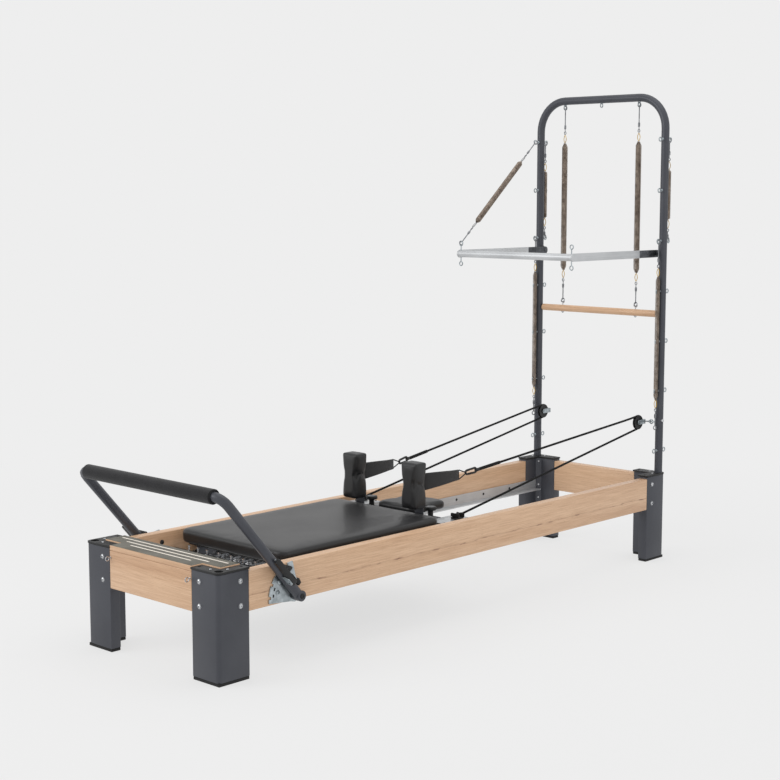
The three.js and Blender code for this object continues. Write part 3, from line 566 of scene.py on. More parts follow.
def angle_block(name, low, high, grow=0.0, arm=LEG_ARM, thick=LEG_THICK, fold=0.0,
                round_corner=LEG_CORNER):
    """An L in plan at the near corner of the foot end: one arm is cut and drawn along the rail."""
    outer = LEG_WIDE + grow
    block = slab(name, at(LEG_WIDE - arm, -grow, low), at(outer, thick, high))
    edit(block)
    bisect(at(LEG_WIDE - thick, 0, 0), (1, 0, 0))
    pick("FACE", lambda m, n: n.y > 0.9 and m.x > (LEG_WIDE - thick) / 1000)
    bpy.ops.mesh.extrude_region_move(TRANSFORM_OT_translate={"value": (0, (arm - thick) / 1000, 0)})
    done()
    edit(block)
    pick("EDGE", lambda m, way: abs(way.z) > 0.9 and m.x > outer / 1000 - 1e-4 and m.y < FOOT_END + 1e-4)
    bpy.ops.mesh.bevel(offset=round_corner, segments=6, affect="EDGES")
    if fold:
        inner = at(LEG_WIDE - thick, thick, 0)
        pick("EDGE", lambda m, way: abs(way.z) > 0.9 and (m.xy - inner.xy).length < 1e-4)
        bpy.ops.mesh.bevel(offset=fold, segments=1, affect="EDGES")
    done()
    return block


def bored(piece, x, y, radius, low, high):
    """Drills a round hole down through a piece."""
    bpy.ops.mesh.primitive_cylinder_add(vertices=32, radius=radius / 1000, depth=(high - low) / 1000,
                                        location=at(x, y, (low + high) / 2))
    drill = bpy.context.object
    modified(piece, "BOOLEAN", operation="DIFFERENCE", object=drill, solver="EXACT")
    bpy.data.objects.remove(drill)
    return piece


def flipped(piece, name, across=False, lengthways=False):
    """A mirrored copy with its own mesh, its faces turned to point out again."""
    bpy.ops.object.select_all(action="DESELECT")
    copy = piece.copy()
    copy.data = piece.data.copy()
    copy.name = copy.data.name = name
    scene.collection.objects.link(copy)
    mirror = Matrix.Scale(-1, 4, (1, 0, 0)) if across else Matrix.Identity(4)
    if lengthways:
        middle = at(0, BED_LENGTH / 2, 0)
        mirror = Matrix.Translation(2 * Vector((0, middle.y, 0))) @ Matrix.Scale(-1, 4, (0, 1, 0)) @ mirror
    copy.data.transform(mirror)
    if across != lengthways:
        copy.data.flip_normals()
    return copy


def corner_set(pattern_piece, ends=("front", "rear")):
    """A corner piece copied to every corner that has one, as (end, side, piece)."""
    made = []
    base = pattern_piece.name
    pattern_piece.name = "pattern"
    for end in ends:
        for side, sign in SIDES:
            made.append((end, side, flipped(pattern_piece, f"{end}_{side}_{base}", sign < 0, end == "rear")))
    bpy.data.objects.remove(pattern_piece)
    return made


for end, fold in (("front", 0), ("rear", 0.017)):
    leg = angle_block("leg_angle", 10.3, LEG_TOP, fold=fold)
    bored(leg, *TUBE_HOLE, 14.5 if end == "front" else 16.5, 200 if end == "front" else 150, 360)
    eased(leg, 0.0016, 2)
    for _, side, piece in corner_set(leg, (end,)):
        seat(piece, "frame", charcoal, "charcoal_paint", f"{end}_{side}_leg")
    lid = angle_block("leg_lid", LEG_TOP + 1.4, LID_TOP, grow=LID_LIP, arm=LEG_ARM + LID_LIP, thick=LID_ARM,
                      round_corner=LEG_CORNER + 0.002)
    edit(lid)
    pick("FACE", lambda m, n: n.z < -0.9)
    bpy.ops.mesh.inset(thickness=0.0019, depth=0)
    bpy.ops.transform.translate(value=(0, 0, -0.0013))
    done()
    bored(lid, *TUBE_HOLE, 14 if end == "front" else 16.4, 330, 380)
    for x, y in ((221, 22), (312, 113)):
        bored(lid, x, y, 5.5, LID_TOP - 6, LID_TOP + 5)
    eased(lid, 0.0008, 2)
    for _, side, piece in corner_set(lid, (end,)):
        seat(piece, "frame", black_plastic, "black_plastic")
foot = angle_block("rubber_foot", 0, FOOT_TOP, grow=-FOOT_INSET, arm=LEG_ARM - FOOT_INSET,
                   thick=LEG_THICK - FOOT_INSET)
eased(foot, 0.0015, 2)
for end, side, piece in corner_set(foot):
    seat(piece, "frame", rubber, "black_plastic", f"{end}_{side}_foot")

# ---------------------------------------------------------------------------------------------
# Leg bolts: nickel button-head bolts with a socket, two on each outer face of each leg, and small
# screws in the lids and in the folded strip. A round piece is drawn up ring by ring.
LEG_BOLTS = ((87.5, 317), (87.5, 239))
STRIP_INSET = 8.6


def bright(name, dark, light, roughness):
    """Plated or turned metal: faint clouding and hairline marks."""
    made = finish(name, roughness, metallic=1.0)
    cloud = pattern(made, "Noise", scale=60, detail=4)
    hair = pattern(made, "Noise", (40, 40, 1600), scale=1.0, detail=2)
    colour(made, tones(made, cloud, (0.3, dark), (0.7, light)))
    wear(made, cloud, roughness - 0.06, roughness + 0.12)
    relief(made, hair, 0.00008, 0.25)
    return made


nickel = bright("bright nickel", "A9ABAE", "D5D7DA", 0.22)
zinc = bright("zinc plate", "8F979B", "B9C1C5", 0.34)


def stacked(name, foot_point, way, profile, sides=24):
    """A turned piece: a disc drawn up along its axis through (radius, height) rings, in mm."""
    way = Vector(way).normalized()
    radius, height = profile[0]
    start = Vector(foot_point) + way * height / 1000
    bpy.ops.mesh.primitive_circle_add(vertices=sides, radius=radius / 1000, fill_type="NGON", location=start,
                                      rotation=way.to_track_quat("Z", "Y").to_euler())
    piece = settle(bpy.context.object, name)
    edit(piece)
    bpy.ops.mesh.select_all(action="SELECT")
    for (before, low), (after, high) in zip(profile, profile[1:]):
        bpy.ops.mesh.extrude_region_move(TRANSFORM_OT_translate={"value": way * (high - low) / 1000})
        centre = Vector(foot_point) + way * high / 1000
        bpy.ops.transform.resize(value=[after / before] * 3, center_override=centre)
    done()
    return smooth(piece, 30)


def joined(name, pieces):
    """Several solids made one object."""
    bpy.ops.object.select_all(action="DESELECT")
    for piece in pieces:
        piece.select_set(True)
    bpy.context.view_layer.objects.active = pieces[0]
    bpy.ops.object.join()
    pieces[0].name = pieces[0].data.name = name
    return pieces[0]


BUTTON_HEAD = ((8.5, -2), (8.5, 0.9), (7.6, 1.1), (7.0, 3.0), (5.6, 4.2), (3.9, 4.9), (3.1, 4.9), (3.0, 2.2))
SMALL_HEAD = ((4.2, -1), (4.2, 0.5), (3.4, 1.6), (1.8, 1.9), (1.5, 0.8))
bolts = []
for from_corner, z in LEG_BOLTS:
    bolts.append(stacked("bolt", at(LEG_WIDE - from_corner, 0, z), (0, -1, 0), BUTTON_HEAD))
    bolts.append(stacked("bolt", at(LEG_WIDE, from_corner + 3, z), (1, 0, 0), BUTTON_HEAD))
for x, y in ((274, 22), (312, 58)):
    bolts.append(stacked("bolt", at(x, y, LID_TOP), (0, 0, 1), SMALL_HEAD, 16))
for end, side, piece in corner_set(joined("leg_bolts", bolts)):
    seat(piece, "frame", nickel, "zinc")
strip_at = LEG_WIDE - LEG_THICK - STRIP_INSET
strip_bolts = [stacked("bolt", at(strip_at, LEG_THICK + STRIP_INSET, z), (-1, 1, 0), SMALL_HEAD, 16)
               for z in (335, 232, 175)]
for end, side, piece in corner_set(joined("strip_bolts", strip_bolts), ("rear",)):
    seat(piece, "frame", nickel, "zinc")

# ---------------------------------------------------------------------------------------------
# Screw eyes on the foot board: 3 mm nickel wire, screwed in, with the ring left a little open.
EYE_X = 203
EYE_Z = 320


def bent_rod(name, start, heading, radius, moves, sides=10):
    """A rod bent as on a jig: a move is a straight length in mm, or a bend of (degrees, bend
    radius in mm, the side it turns to)."""
    spot, heading = Vector(start), Vector(heading).normalized()
    bpy.ops.mesh.primitive_circle_add(vertices=sides, radius=radius / 1000, fill_type="NGON", location=spot,
                                      rotation=heading.to_track_quat("Z", "Y").to_euler())
    rod = settle(bpy.context.object, name)
    edit(rod)
    bpy.ops.mesh.select_all(action="SELECT")
    for move in moves:
        if isinstance(move, (int, float)):
            bpy.ops.mesh.extrude_region_move(TRANSFORM_OT_translate={"value": heading * move / 1000})
            spot = spot + heading * move / 1000
            continue
        degrees, bend, side = move
        side = Vector(side)
        side = (side - heading * side.dot(heading)).normalized()
        centre, axis, turn = spot + side * bend / 1000, heading.cross(side), math.radians(degrees)
        steps = max(3, round(degrees / (24 if bend < 40 else 8)))
        bpy.ops.mesh.spin(steps=steps, angle=-turn, center=centre, axis=axis)
        turning = Matrix.Rotation(turn, 3, axis)
        spot, heading = centre + turning @ (spot - centre), turning @ heading
    done()
    return smooth(rod, 40)


for side, sign in SIDES:
    eye = bent_rod("eye", at(sign * EYE_X, 2, EYE_Z), (0, -1, 0), 1.6,
                   [7, (60, 2.5, (0, 0, 1)), (330, 7, (0, -1, -0.6))])
    collar = stacked("collar", at(sign * EYE_X, 0, EYE_Z), (0, -1, 0),
                     ((3.4, -1), (3.4, 1.2), (2.2, 1.8)), 14)
    seat(joined(f"{side}_screw_eye", [eye, collar]), "frame", nickel, "zinc")

# ---------------------------------------------------------------------------------------------
# Tracks: extruded aluminium angles, satin anodised, screwed along the inner face of the rails.
# The carriage wheels run on the lower lip.
TRACK_SCREW_PITCH = 172
TRACK_SCREW_FIRST = 266
TRACK_SCREW_COUNT = 12
TRACK_SCREW = ((5.5, -1), (5.5, 0.4), (4.4, 1.8), (2.2, 2.0), (1.9, 0.9))
aluminium = finish("satin aluminium", 0.4, metallic=0.55)
drawn = pattern(aluminium, "Noise", (700, 2.5, 700), scale=1.0, detail=3)
clouded = pattern(aluminium, "Noise", scale=9, detail=3)
colour(aluminium, blended(aluminium, "MULTIPLY", 0.4,
                          tones(aluminium, clouded, (0.3, "C2C4C6"), (0.7, "D2D4D6")),
                          tones(aluminium, drawn, (0.3, "C2C4C6"), (0.7, "FFFFFF"))))
wear(aluminium, drawn, 0.28, 0.46)
relief(aluminium, drawn, 0.00012, 0.35)
for side, sign in SIDES:
    low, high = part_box(f"{side}_track")
    web = slab(f"{side}_wheel_track", (sign * 0.2952, low.y, low.z), (sign * 0.2912, high.y, high.z))
    edit(web)
    bisect((0, 0, low.z + 0.005), (0, 0, 1))
    pick("FACE", lambda m, n: n.x * sign < -0.9 and m.z < low.z + 0.005)
    bpy.ops.mesh.extrude_region_move(TRANSFORM_OT_translate={"value": (-sign * 0.0292, 0, 0)})
    done()
    seat(eased(web, 0.0008, 2), "frame", aluminium, "aluminium", f"{side}_track")
    # The screw heads are black so they read as the dark screw holes along the track: painted shade in the
    # holes.
    screws = [stacked("screw", at(sign * 291.2, TRACK_SCREW_FIRST + n * TRACK_SCREW_PITCH, 240),
                      (-sign, 0, 0), TRACK_SCREW, 16) for n in range(TRACK_SCREW_COUNT)]
    seat(joined(f"{side}_track_screws", screws), "frame", black_plastic, "black_plastic")

rail_bolts = [stacked("bolt", at(x, 284, 310), (way, 0, 0), BUTTON_HEAD, 20)
              for x, way in ((-295.5, 1), (295.5, -1))]
seat(joined("footbar_rail_bolts", rail_bolts), "frame", black_plastic, "black_plastic")

# ---------------------------------------------------------------------------------------------
# Spring bar: a black steel bar across the bed with a row of turned pins that the carriage
# springs hook on, and two posts beside them where unused springs are hung.
bar_low, bar_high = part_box("spring_bar")
bar_top = 282
bar = slab("spring_anchor_bar", bar_low, (bar_high.x, bar_high.y, at(0, 0, bar_top).z))
seat(eased(bar, 0.0025, 2), "frame", charcoal, "charcoal_paint", "spring_bar")
PIN = ((4, -1), (4, 3), (2.6, 4), (2.6, 12), (4.4, 14), (4.9, 17), (4.1, 20), (2.2, 21))
pins = [stacked("pin", at(x, 340, bar_top), (0, 0, 1), PIN, 16) for x in (-220, -172, -124, -62, 0, 62, 124)]
seat(joined("spring_pins", pins), "frame", nickel, "zinc")

# ---------------------------------------------------------------------------------------------
# Tower: one steel tube, 32 mm, bent to an arch and sleeved into the rear legs, powder coated.
# Eyebolts go through the uprights at even steps and hang from the arch.
TOWER_X = 315
TOWER_Y = 2380
TUBE_RADIUS = 16
TUBE_BEND = 126
TUBE_BOTTOM = 152
ARCH_TOP = 1880
EYE_TOP, EYE_STEP, EYE_LOW = 1711, 203, 449
ARCH_EYE_Z = 1855
straight = ARCH_TOP - TUBE_BEND - TUBE_BOTTOM
arch = bent_rod("tower_arch", at(TOWER_X, TOWER_Y, TUBE_BOTTOM), (0, 0, 1), TUBE_RADIUS,
                [straight, (90, TUBE_BEND, (-1, 0, 0)), 2 * (TOWER_X - TUBE_BEND),
                 (90, TUBE_BEND, (0, 0, -1)), straight], sides=32)
seat(arch, "frame", charcoal, "charcoal_paint", "tower_frame")


def eyebolt(spot, way, reach):
    """A wire eye on a short shank with a small nut against the tube."""
    ring_side = (0, 0, 1) if abs(way[2]) < 0.5 else (0, 1, 0)
    start = spot + Vector(way) * (TUBE_RADIUS - 3) / 1000
    moves = [reach - TUBE_RADIUS + 1, (70, 2.5, ring_side), (325, 8, way)]
    shank = bent_rod("eye", start, way, 2.2, moves, 8)
    nut_rings = ((5.6, TUBE_RADIUS - 1.5), (5.6, TUBE_RADIUS + 2.6), (4.2, TUBE_RADIUS + 3.4))
    nut = stacked("nut", spot, way, nut_rings, 6)
    return [shank, nut]


for side, sign in SIDES:
    eyes = []
    for z in [EYE_TOP - k * EYE_STEP for k in range(6)] + [EYE_LOW]:
        for way in ((0, 1, 0), (0, -1, 0)):
            eyes += eyebolt(at(sign * TOWER_X, TOWER_Y, z), way, 28)
    seat(joined(f"{side}_upright_eyebolts", eyes), "frame", zinc, "zinc")
arch_eyes = []
for x in (-187, 0, 187):
    arch_eyes += eyebolt(at(x, TOWER_Y, ARCH_TOP), (0, 0, -1), 17)
seat(joined("arch_eyebolts", arch_eyes), "frame", zinc, "zinc")

# ---------------------------------------------------------------------------------------------
# Carriage springs: five close-wound steel springs, each with a hook over its pin at the foot end
# and a shank fixed in the carriage's cross plate.
SPRING_Z = 278
steel = bright("spring steel", "5C5E61", "9A9CA0", 0.3)


def coil(name, start, end, radius, wire, pitch, taper=0.0):
    """A wound spring between two points, sizes in mm. Taper is the share of it that narrows
    towards each end."""
    run = end - start
    axis = run.normalized()
    side = axis.orthogonal().normalized()
    other = axis.cross(side)
    turns = run.length * 1000 / pitch
    steps = round(turns * 12)
    points = []
    for k in range(steps + 1):
        t, angle = k / steps, 2 * math.pi * turns * k / steps
        narrow = min(1, 0.35 + 0.65 * t / taper, 0.35 + 0.65 * (1 - t) / taper) if taper else 1
        out = (radius - wire) * narrow / 1000
        points.append(start + run * t + side * out * math.cos(angle) + other * out * math.sin(angle))
    return swept(name, points, round_section(wire / 1000, 6), steel, axis)


def hook(coil_end, eye, across, radius, wire):
    """A wire eye and the shank that joins it to the end of a coil."""
    toward = (coil_end - eye).normalized()
    across = Vector(across).normalized()
    edge = (toward - across * toward.dot(across)).normalized()
    heading = across.cross(edge)
    ring = bent_rod("ring", eye + edge * radius / 1000, heading, wire, [(345, radius, -edge)], 8)
    shank_from = eye + edge * radius / 1000
    run = coil_end - shank_from
    shank = bent_rod("shank", shank_from, run, wire, [run.length * 1000], 8)
    return [ring, shank]


def stretching(piece, node):
    """A spring's finished mesh: given its steel, its place baked into the mesh, and the CAD part it stands
    for hidden.
    """
    piece.data.materials.clear()
    piece.data.materials.append(steel)
    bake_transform(piece)
    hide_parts(node)


for number, x in enumerate((-124, -62, 0, 62, 124), 1):
    front, rear = at(x, 368, SPRING_Z), at(x, 834, SPRING_Z)
    wound = coil("wound", front, rear, 12.5, 1.5, 4.6)
    tail = bent_rod("tail", rear + Vector((0, -0.004, 0)), (0, 1, 0), 1.6, [20.5], 8)
    front_hook = hook(front, at(x, 340, 286), (0, 0, 1), 6.5, 1.6)
    piece = joined(f"carriage_coil_{number}", [wound, tail] + front_hook)
    stretching(piece,
               f"carriage_spring_{number}")

# ---------------------------------------------------------------------------------------------
# Carriage: a black laminated deck on folded, powder-coated side skirts with a cross plate for the
# springs. Two bright corner plates at the rear carry the cleats, and two upright brackets stand
# close behind the pad and hold the shoulder rests.
DECK_HALF = 250
AXLE_Z = 242.3
SKIRT_CUTS = ((0.52, 0.78), (1.04, 1.10))
AXLE = ((9, 0), (9, 24), (4.9, 24.2), (4.9, 45.6), (9, 45.8), (8, 48), (4, 48.4), (3.6, 47))
laminate = moulded("black laminate", "161617", "1F1F20", 0.4)
deck = slab("carriage_deck", at(-DECK_HALF, 365, 297.5), at(DECK_HALF, 1250, 308.5))
seat(eased(deck, 0.002, 2), "carriage", laminate, "black_plastic", "carriage_frame")
cross = slab("cross", at(-241, 851.3, 262), at(241, 865, 297.5))
metal, dark = [], [cross]
for side, sign in SIDES:
    skirt = slab("skirt", at(sign * 240, 400, 226), at(sign * DECK_HALF, 1230, 297.6))
    edit(skirt)
    bisect(at(0, 0, 268), (0, 0, 1))
    for y in (520, 780, 1040, 1100):
        bisect(at(0, y, 0), (0, 1, 0))
    pick("FACE", lambda m, n: n.z < -0.9 and any(a < m.y - FOOT_END < b for a, b in SKIRT_CUTS))
    bpy.ops.transform.translate(value=(0, 0, 0.028))
    done()
    riser = slab("riser", at(sign * 190, 1103, 308), at(sign * DECK_HALF, 1250, 325.4))
    plate = slab("plate", at(sign * 186, 1103, 325.2), at(sign * 275, 1252, 330))
    # The rest bases and posts go in with the charcoal underframe rather than the bright metal, so the gap
    # under each rest stays dark: painted shade.
    base = slab("base", at(sign * 123, 1101.6, 308.2), at(sign * 175, 1192, 328))
    post = slab("post", at(sign * 129, 1101.6, 327), at(sign * 169, 1106, 373.6))
    metal += [riser, plate]
    dark += [skirt, base, post]
    for y in (430, 1180):
        metal.append(stacked("axle", at(sign * 238, y, AXLE_Z), (sign, 0, 0), AXLE, 20))
for piece in metal + dark:
    eased(piece, 0.0008, 2)
seat(joined("cleat_plates", metal), "carriage", aluminium, "aluminium")
seat(joined("carriage_underframe", dark), "carriage", charcoal, "charcoal_paint")
bolts = []
for sign in (1, -1):
    for x, y, z in ((262, 1116, 330), (262, 1240, 330), (200, 1116, 330), (200, 1240, 330)):
        bolts.append(stacked("bolt", at(sign * x, y, z), (0, 0, 1), SMALL_HEAD, 14))
seat(joined("carriage_plate_screws", bolts), "carriage", black_plastic, "black_plastic")

# Wheels: black urethane tyres on a moulded hub, free on their axles.
TYRE = ((9.5, 1.5), (12, 1.5), (13, 0.2), (21, 0), (23.4, 1.2), (24, 3), (24, 17), (23.4, 18.8),
        (21, 20), (13, 19.8), (12, 18.4), (9.5, 18.4))
for side, sign in SIDES:
    for end, y in (("front", 430), ("rear", 1180)):
        wheel = stacked(f"{end}_{side}_tyre", at(sign * 263, y, AXLE_Z), (sign, 0, 0), TYRE, 40)
        seat(wheel, f"{end}_{side}_roller", rubber, "black_plastic", f"{end}_{side}_wheel")

# ---------------------------------------------------------------------------------------------
# Carriage pad, headrest and shoulder rests: foam on a board, wrapped tight in black vinyl. Each
# starts a little small, is remeshed, and is swollen as cloth against its own cover.
PAD = ((270, 325, 309), (1100, 358), 38)
REST_X, REST_FRONT, REST_REAR, REST_LOW, REST_TOP = 149, 1044, 1106, 374, 545
vinyl = finish("black vinyl", 0.42, specular=0.5, coat=0.08)
skin = pattern(vinyl, "Voronoi", scale=520)
crease = pattern(vinyl, "Noise", scale=6, detail=4, roughness=0.6)
pebble = pattern(vinyl, "Noise", scale=900, detail=3)
colour(vinyl, blended(vinyl, "MULTIPLY", 0.4, tones(vinyl, crease, (0.3, "0F0F10"), (0.7, "19191B")),
                      tones(vinyl, skin, (0.0, "B8B8B8"), (0.5, "FFFFFF"))))
wear(vinyl, crease, 0.36, 0.5)
relief(vinyl, skin, 0.00022, 0.45)
relief(vinyl, pebble, 0.0001, 0.4)


def block_form(name, half, middle_x, front, rear, low, high, corner, edge):
    """A slab with rounded upright corners and rounded rims, before it is swollen."""
    form = slab(name, at(middle_x - half, front, low), at(middle_x + half, rear, high))
    edit(form)
    pick("EDGE", lambda m, way: abs(way.z) > 0.9)
    bpy.ops.mesh.bevel(offset=corner / 1000, segments=8, affect="EDGES")
    done()
    return modified(form, "BEVEL", width=edge / 1000, segments=4, limit_method="ANGLE", angle_limit=1.0)


def swollen(piece, voxel, cap, shaped=None, floor_z=None):
    """Foam pressed out against its cover: cloth under pressure, no point moving further than
    the cap in mm, and none below the board it is fixed to."""
    modified(piece, "REMESH", mode="VOXEL", voxel_size=voxel / 1000)
    if shaped:
        for vertex in piece.data.vertices:
            vertex.co = shaped(vertex.co)
    rest = [vertex.co.copy() for vertex in piece.data.vertices]
    cloth = piece.modifiers.new("cloth", "CLOTH")
    cloth.settings.use_pressure = True
    cloth.settings.uniform_pressure_force = 4
    cloth.settings.effector_weights.gravity = 0
    for number in range(1, 21):
        scene.frame_set(number)
    swelled = piece.evaluated_get(bpy.context.evaluated_depsgraph_get())
    after = [vertex.co.copy() for vertex in swelled.data.vertices]
    piece.modifiers.remove(cloth)
    scene.frame_set(1)
    for vertex, was, now in zip(piece.data.vertices, rest, after):
        move = now - was
        vertex.co = was + move * min(1, cap / 1000 / max(move.length, 1e-9))
    if floor_z is not None:
        for vertex in piece.data.vertices:
            vertex.co.z = max(vertex.co.z, floor_z / 1000)
    modified(piece, "SUBSURF", levels=1, render_levels=1)
    return smooth(piece, 180)


(half, front, low), (rear, high), corner = PAD
pad = block_form("carriage_cushion", half - 2.5, 0, front + 2.5, rear - 2, low + 0.3, high - 2.5, corner, 11)
swollen(pad, 7.5, 4, floor_z=low)
seat(pad, "carriage", vinyl, "black_vinyl", "carriage_pad")
head = block_form("headrest_cushion", 95.5, 0, 1123.5, 1323.5, 331.3, 359.5, 30, 9)
swollen(head, 5, 4, floor_z=331)
seat(head, "headrest_pad", vinyl, "black_vinyl", "headrest")


def waisted(co):
    """Draws a shoulder rest in at half its height, and a little at its foot."""
    up = (co.z - REST_LOW / 1000) / ((REST_TOP - REST_LOW) / 1000)
    draw = 1 - 0.085 * math.exp(-((up - 0.52) / 0.14) ** 2) - 0.05 * max(0, 0.12 - up) / 0.12
    return Vector((REST_X / 1000 + (co.x - REST_X / 1000) * draw, co.y, co.z))


rest = block_form("near_rest_cushion", 38, REST_X, REST_FRONT + 2, REST_REAR - 2,
                  REST_LOW + 1, REST_TOP - 2, 8, 7)
swollen(rest, 4, 4, shaped=waisted)
mid_y, mid_z = at(0, (REST_FRONT + REST_REAR) / 2, 0).y, (REST_LOW + REST_TOP) / 2000
half_y, half_z, round_top = (REST_REAR - REST_FRONT) / 2000, (REST_TOP - REST_LOW) / 2000, 0.019
SEAM_IN, SEAM_WIDE, SEAM_DEEP = 0.0085, 0.0016, 0.0012
# Each rest has rounded upper corners and a sewn seam that runs round its two broad faces.
for vertex in rest.data.vertices:
    dy, dz = abs(vertex.co.y - mid_y), vertex.co.z - mid_z
    over_y, over_z = dy - (half_y - round_top), dz - (half_z - round_top)
    if over_y > 0 and over_z > 0:
        reach = math.hypot(over_y, over_z)
        if reach > round_top:
            over_y, over_z = over_y * round_top / reach, over_z * round_top / reach
            vertex.co.y = mid_y + math.copysign(half_y - round_top + over_y, vertex.co.y - mid_y)
            vertex.co.z = mid_z + half_z - round_top + over_z
    if over_y > 0 and over_z > 0:
        inset = round_top - math.hypot(over_y, over_z)
    else:
        inset = min(half_y - dy, half_z - abs(dz))
    off_seam = abs(inset - SEAM_IN)
    if abs(vertex.normal.x) > 0.6 and off_seam < SEAM_WIDE:
        vertex.co.x -= math.copysign(SEAM_DEEP * (1 - off_seam / SEAM_WIDE), vertex.normal.x)
smooth(rest, 180)
for side, piece in (("near", rest), ("far", flipped(rest, "far_rest_cushion", across=True))):
    seat(piece, "carriage", vinyl, "black_vinyl", f"{side}_shoulder_rest")

# Rest knobs: black moulded knobs with a fluted rim and a grey insert, one behind each rest.
grey_insert = moulded("grey plastic insert", "55575A", "66686B", 0.45)
KNOB = ((10.5, 0), (10, 8), (9.5, 22), (12, 25), (20.5, 27), (22, 29.5), (22, 35.5), (20.5, 38.5),
        (17, 39.6), (15.5, 39.4), (15, 38.4))
KNOB_Y, KNOB_SIDES = 1165, 48


def fluted(middle, normal, centre):
    """True for every fourth facet of a knob's rim."""
    facet = math.atan2(middle.y - centre.y, middle.x - centre.x) / (2 * math.pi / KNOB_SIDES) - 0.5
    return abs(normal.z) < 0.2 and 0.3575 < middle.z < 0.3645 and round(facet) % 4 == 0


for side, sign in SIDES:
    knob = stacked(f"{side}_mushroom_knob", at(sign * REST_X, KNOB_Y, 328.4), (0, 0, 1), KNOB, KNOB_SIDES)
    edit(knob)
    pick("FACE", lambda m, n: fluted(m, n, at(sign * REST_X, KNOB_Y, 0)))
    bpy.ops.mesh.inset(thickness=0.0003, depth=-0.0012)
    done()
    seat(smooth(knob, 35), f"{side}_knob", black_plastic, "black_plastic", f"{side}_rest_knob")
    cap = stacked(f"{side}_knob_insert", at(sign * REST_X, KNOB_Y, 366.4), (0, 0, 1),
                  ((14.8, 0), (14.8, 1.1), (13.8, 1.6), (5, 1.7), (4.5, 1.2)), 32)
    seat(cap, f"{side}_knob", grey_insert, "black_plastic")

# Cord cleats: moulded horn cleats on the corner plates, each with three crossed turns of rope.
CLEAT_X = 243
CLEAT_STEPS = 96


def round_cleat(sign, t):
    """A point of the rope that is made fast: a figure of eight that climbs as it is wound."""
    lift = 3.0 * math.cos(2 * t) * (1 if math.sin(t) > 0 else -1)
    return at(sign * CLEAT_X + 13 * math.sin(2 * t), 1207 + 23 * math.sin(t),
              338.5 + 1.6 * t / math.pi + lift)


for side, sign in SIDES:
    x = sign * CLEAT_X
    foot_plate = eased(slab("foot", at(x - 15, 1184, 330.4), at(x + 15, 1226, 337)), 0.003, 3)
    neck = stacked("neck", at(x, 1205, 336), (0, 0, 1), ((13, 0), (10, 3), (9, 10)), 24)
    horn = slab("horn", at(x - 6, 1180, 341), at(x + 6, 1238, 350))
    edit(horn)
    for y in (1193, 1217):
        bisect(at(0, y, 0), (0, 1, 0))
    for y in (1180, 1238):
        pick("FACE", lambda m, n: abs(n.y) > 0.9 and abs(m.y - at(0, y, 0).y) < 0.001)
        bpy.ops.transform.resize(value=(0.6, 1, 0.5), center_override=at(x, y, 348))
    done()
    cleat = joined(f"{side}_horn_cleat", [foot_plate, neck, eased(horn, 0.0025, 3)])
    seat(cleat, "carriage", black_plastic, "black_plastic", f"{side}_cord_cleat")
    turns = [round_cleat(sign, k * math.pi / 16) for k in range(CLEAT_STEPS + 1)]
    wound = swept(f"{side}_cleat_turns", turns, round_section(0.0036, 8), braid)
    seat(wound, "carriage", braid, "cord")

# ---------------------------------------------------------------------------------------------
# Hand straps: loops of black woven webbing, wide at the grip and narrow at the wire ring. A black
# snap clip takes the ring, and a sleeve of thicker braid covers the rope's sewn end.
STRAP_FROM, STRAP_TO = (156, 1117, 465, 62), (166, 1300, 469, 38)
webbing = finish("woven webbing", 0.85, sheen=0.25)
ribs = pattern(webbing, "Wave", (1, 1, 1), source="UV", bands_direction="Y", scale=1.6)
weft = pattern(webbing, "Wave", (1, 1, 1), source="UV", bands_direction="X", scale=5)
weave = blended(webbing, "MULTIPLY", 0.7, ribs, weft)
colour(webbing, tones(webbing, weave, (0.0, "0A0A0B"), (0.6, "171718"), (1.0, "232325")))
relief(webbing, weave, 0.0006, 0.7)


def rounded_loop(corners, radius):
    """A closed wire's route through its corners, each rounded off."""
    route = []
    for i, corner in enumerate(corners):
        before, after = corners[i - 1] - corner, corners[(i + 1) % len(corners)] - corner
        a = corner + before.normalized() * min(radius / 1000, before.length * 0.49)
        b = corner + after.normalized() * min(radius / 1000, after.length * 0.49)
        for t in (0, 0.2, 0.4, 0.6, 0.8, 1):
            route.append(a * (1 - t) ** 2 + corner * 2 * t * (1 - t) + b * t ** 2)
    return route + [route[0]]


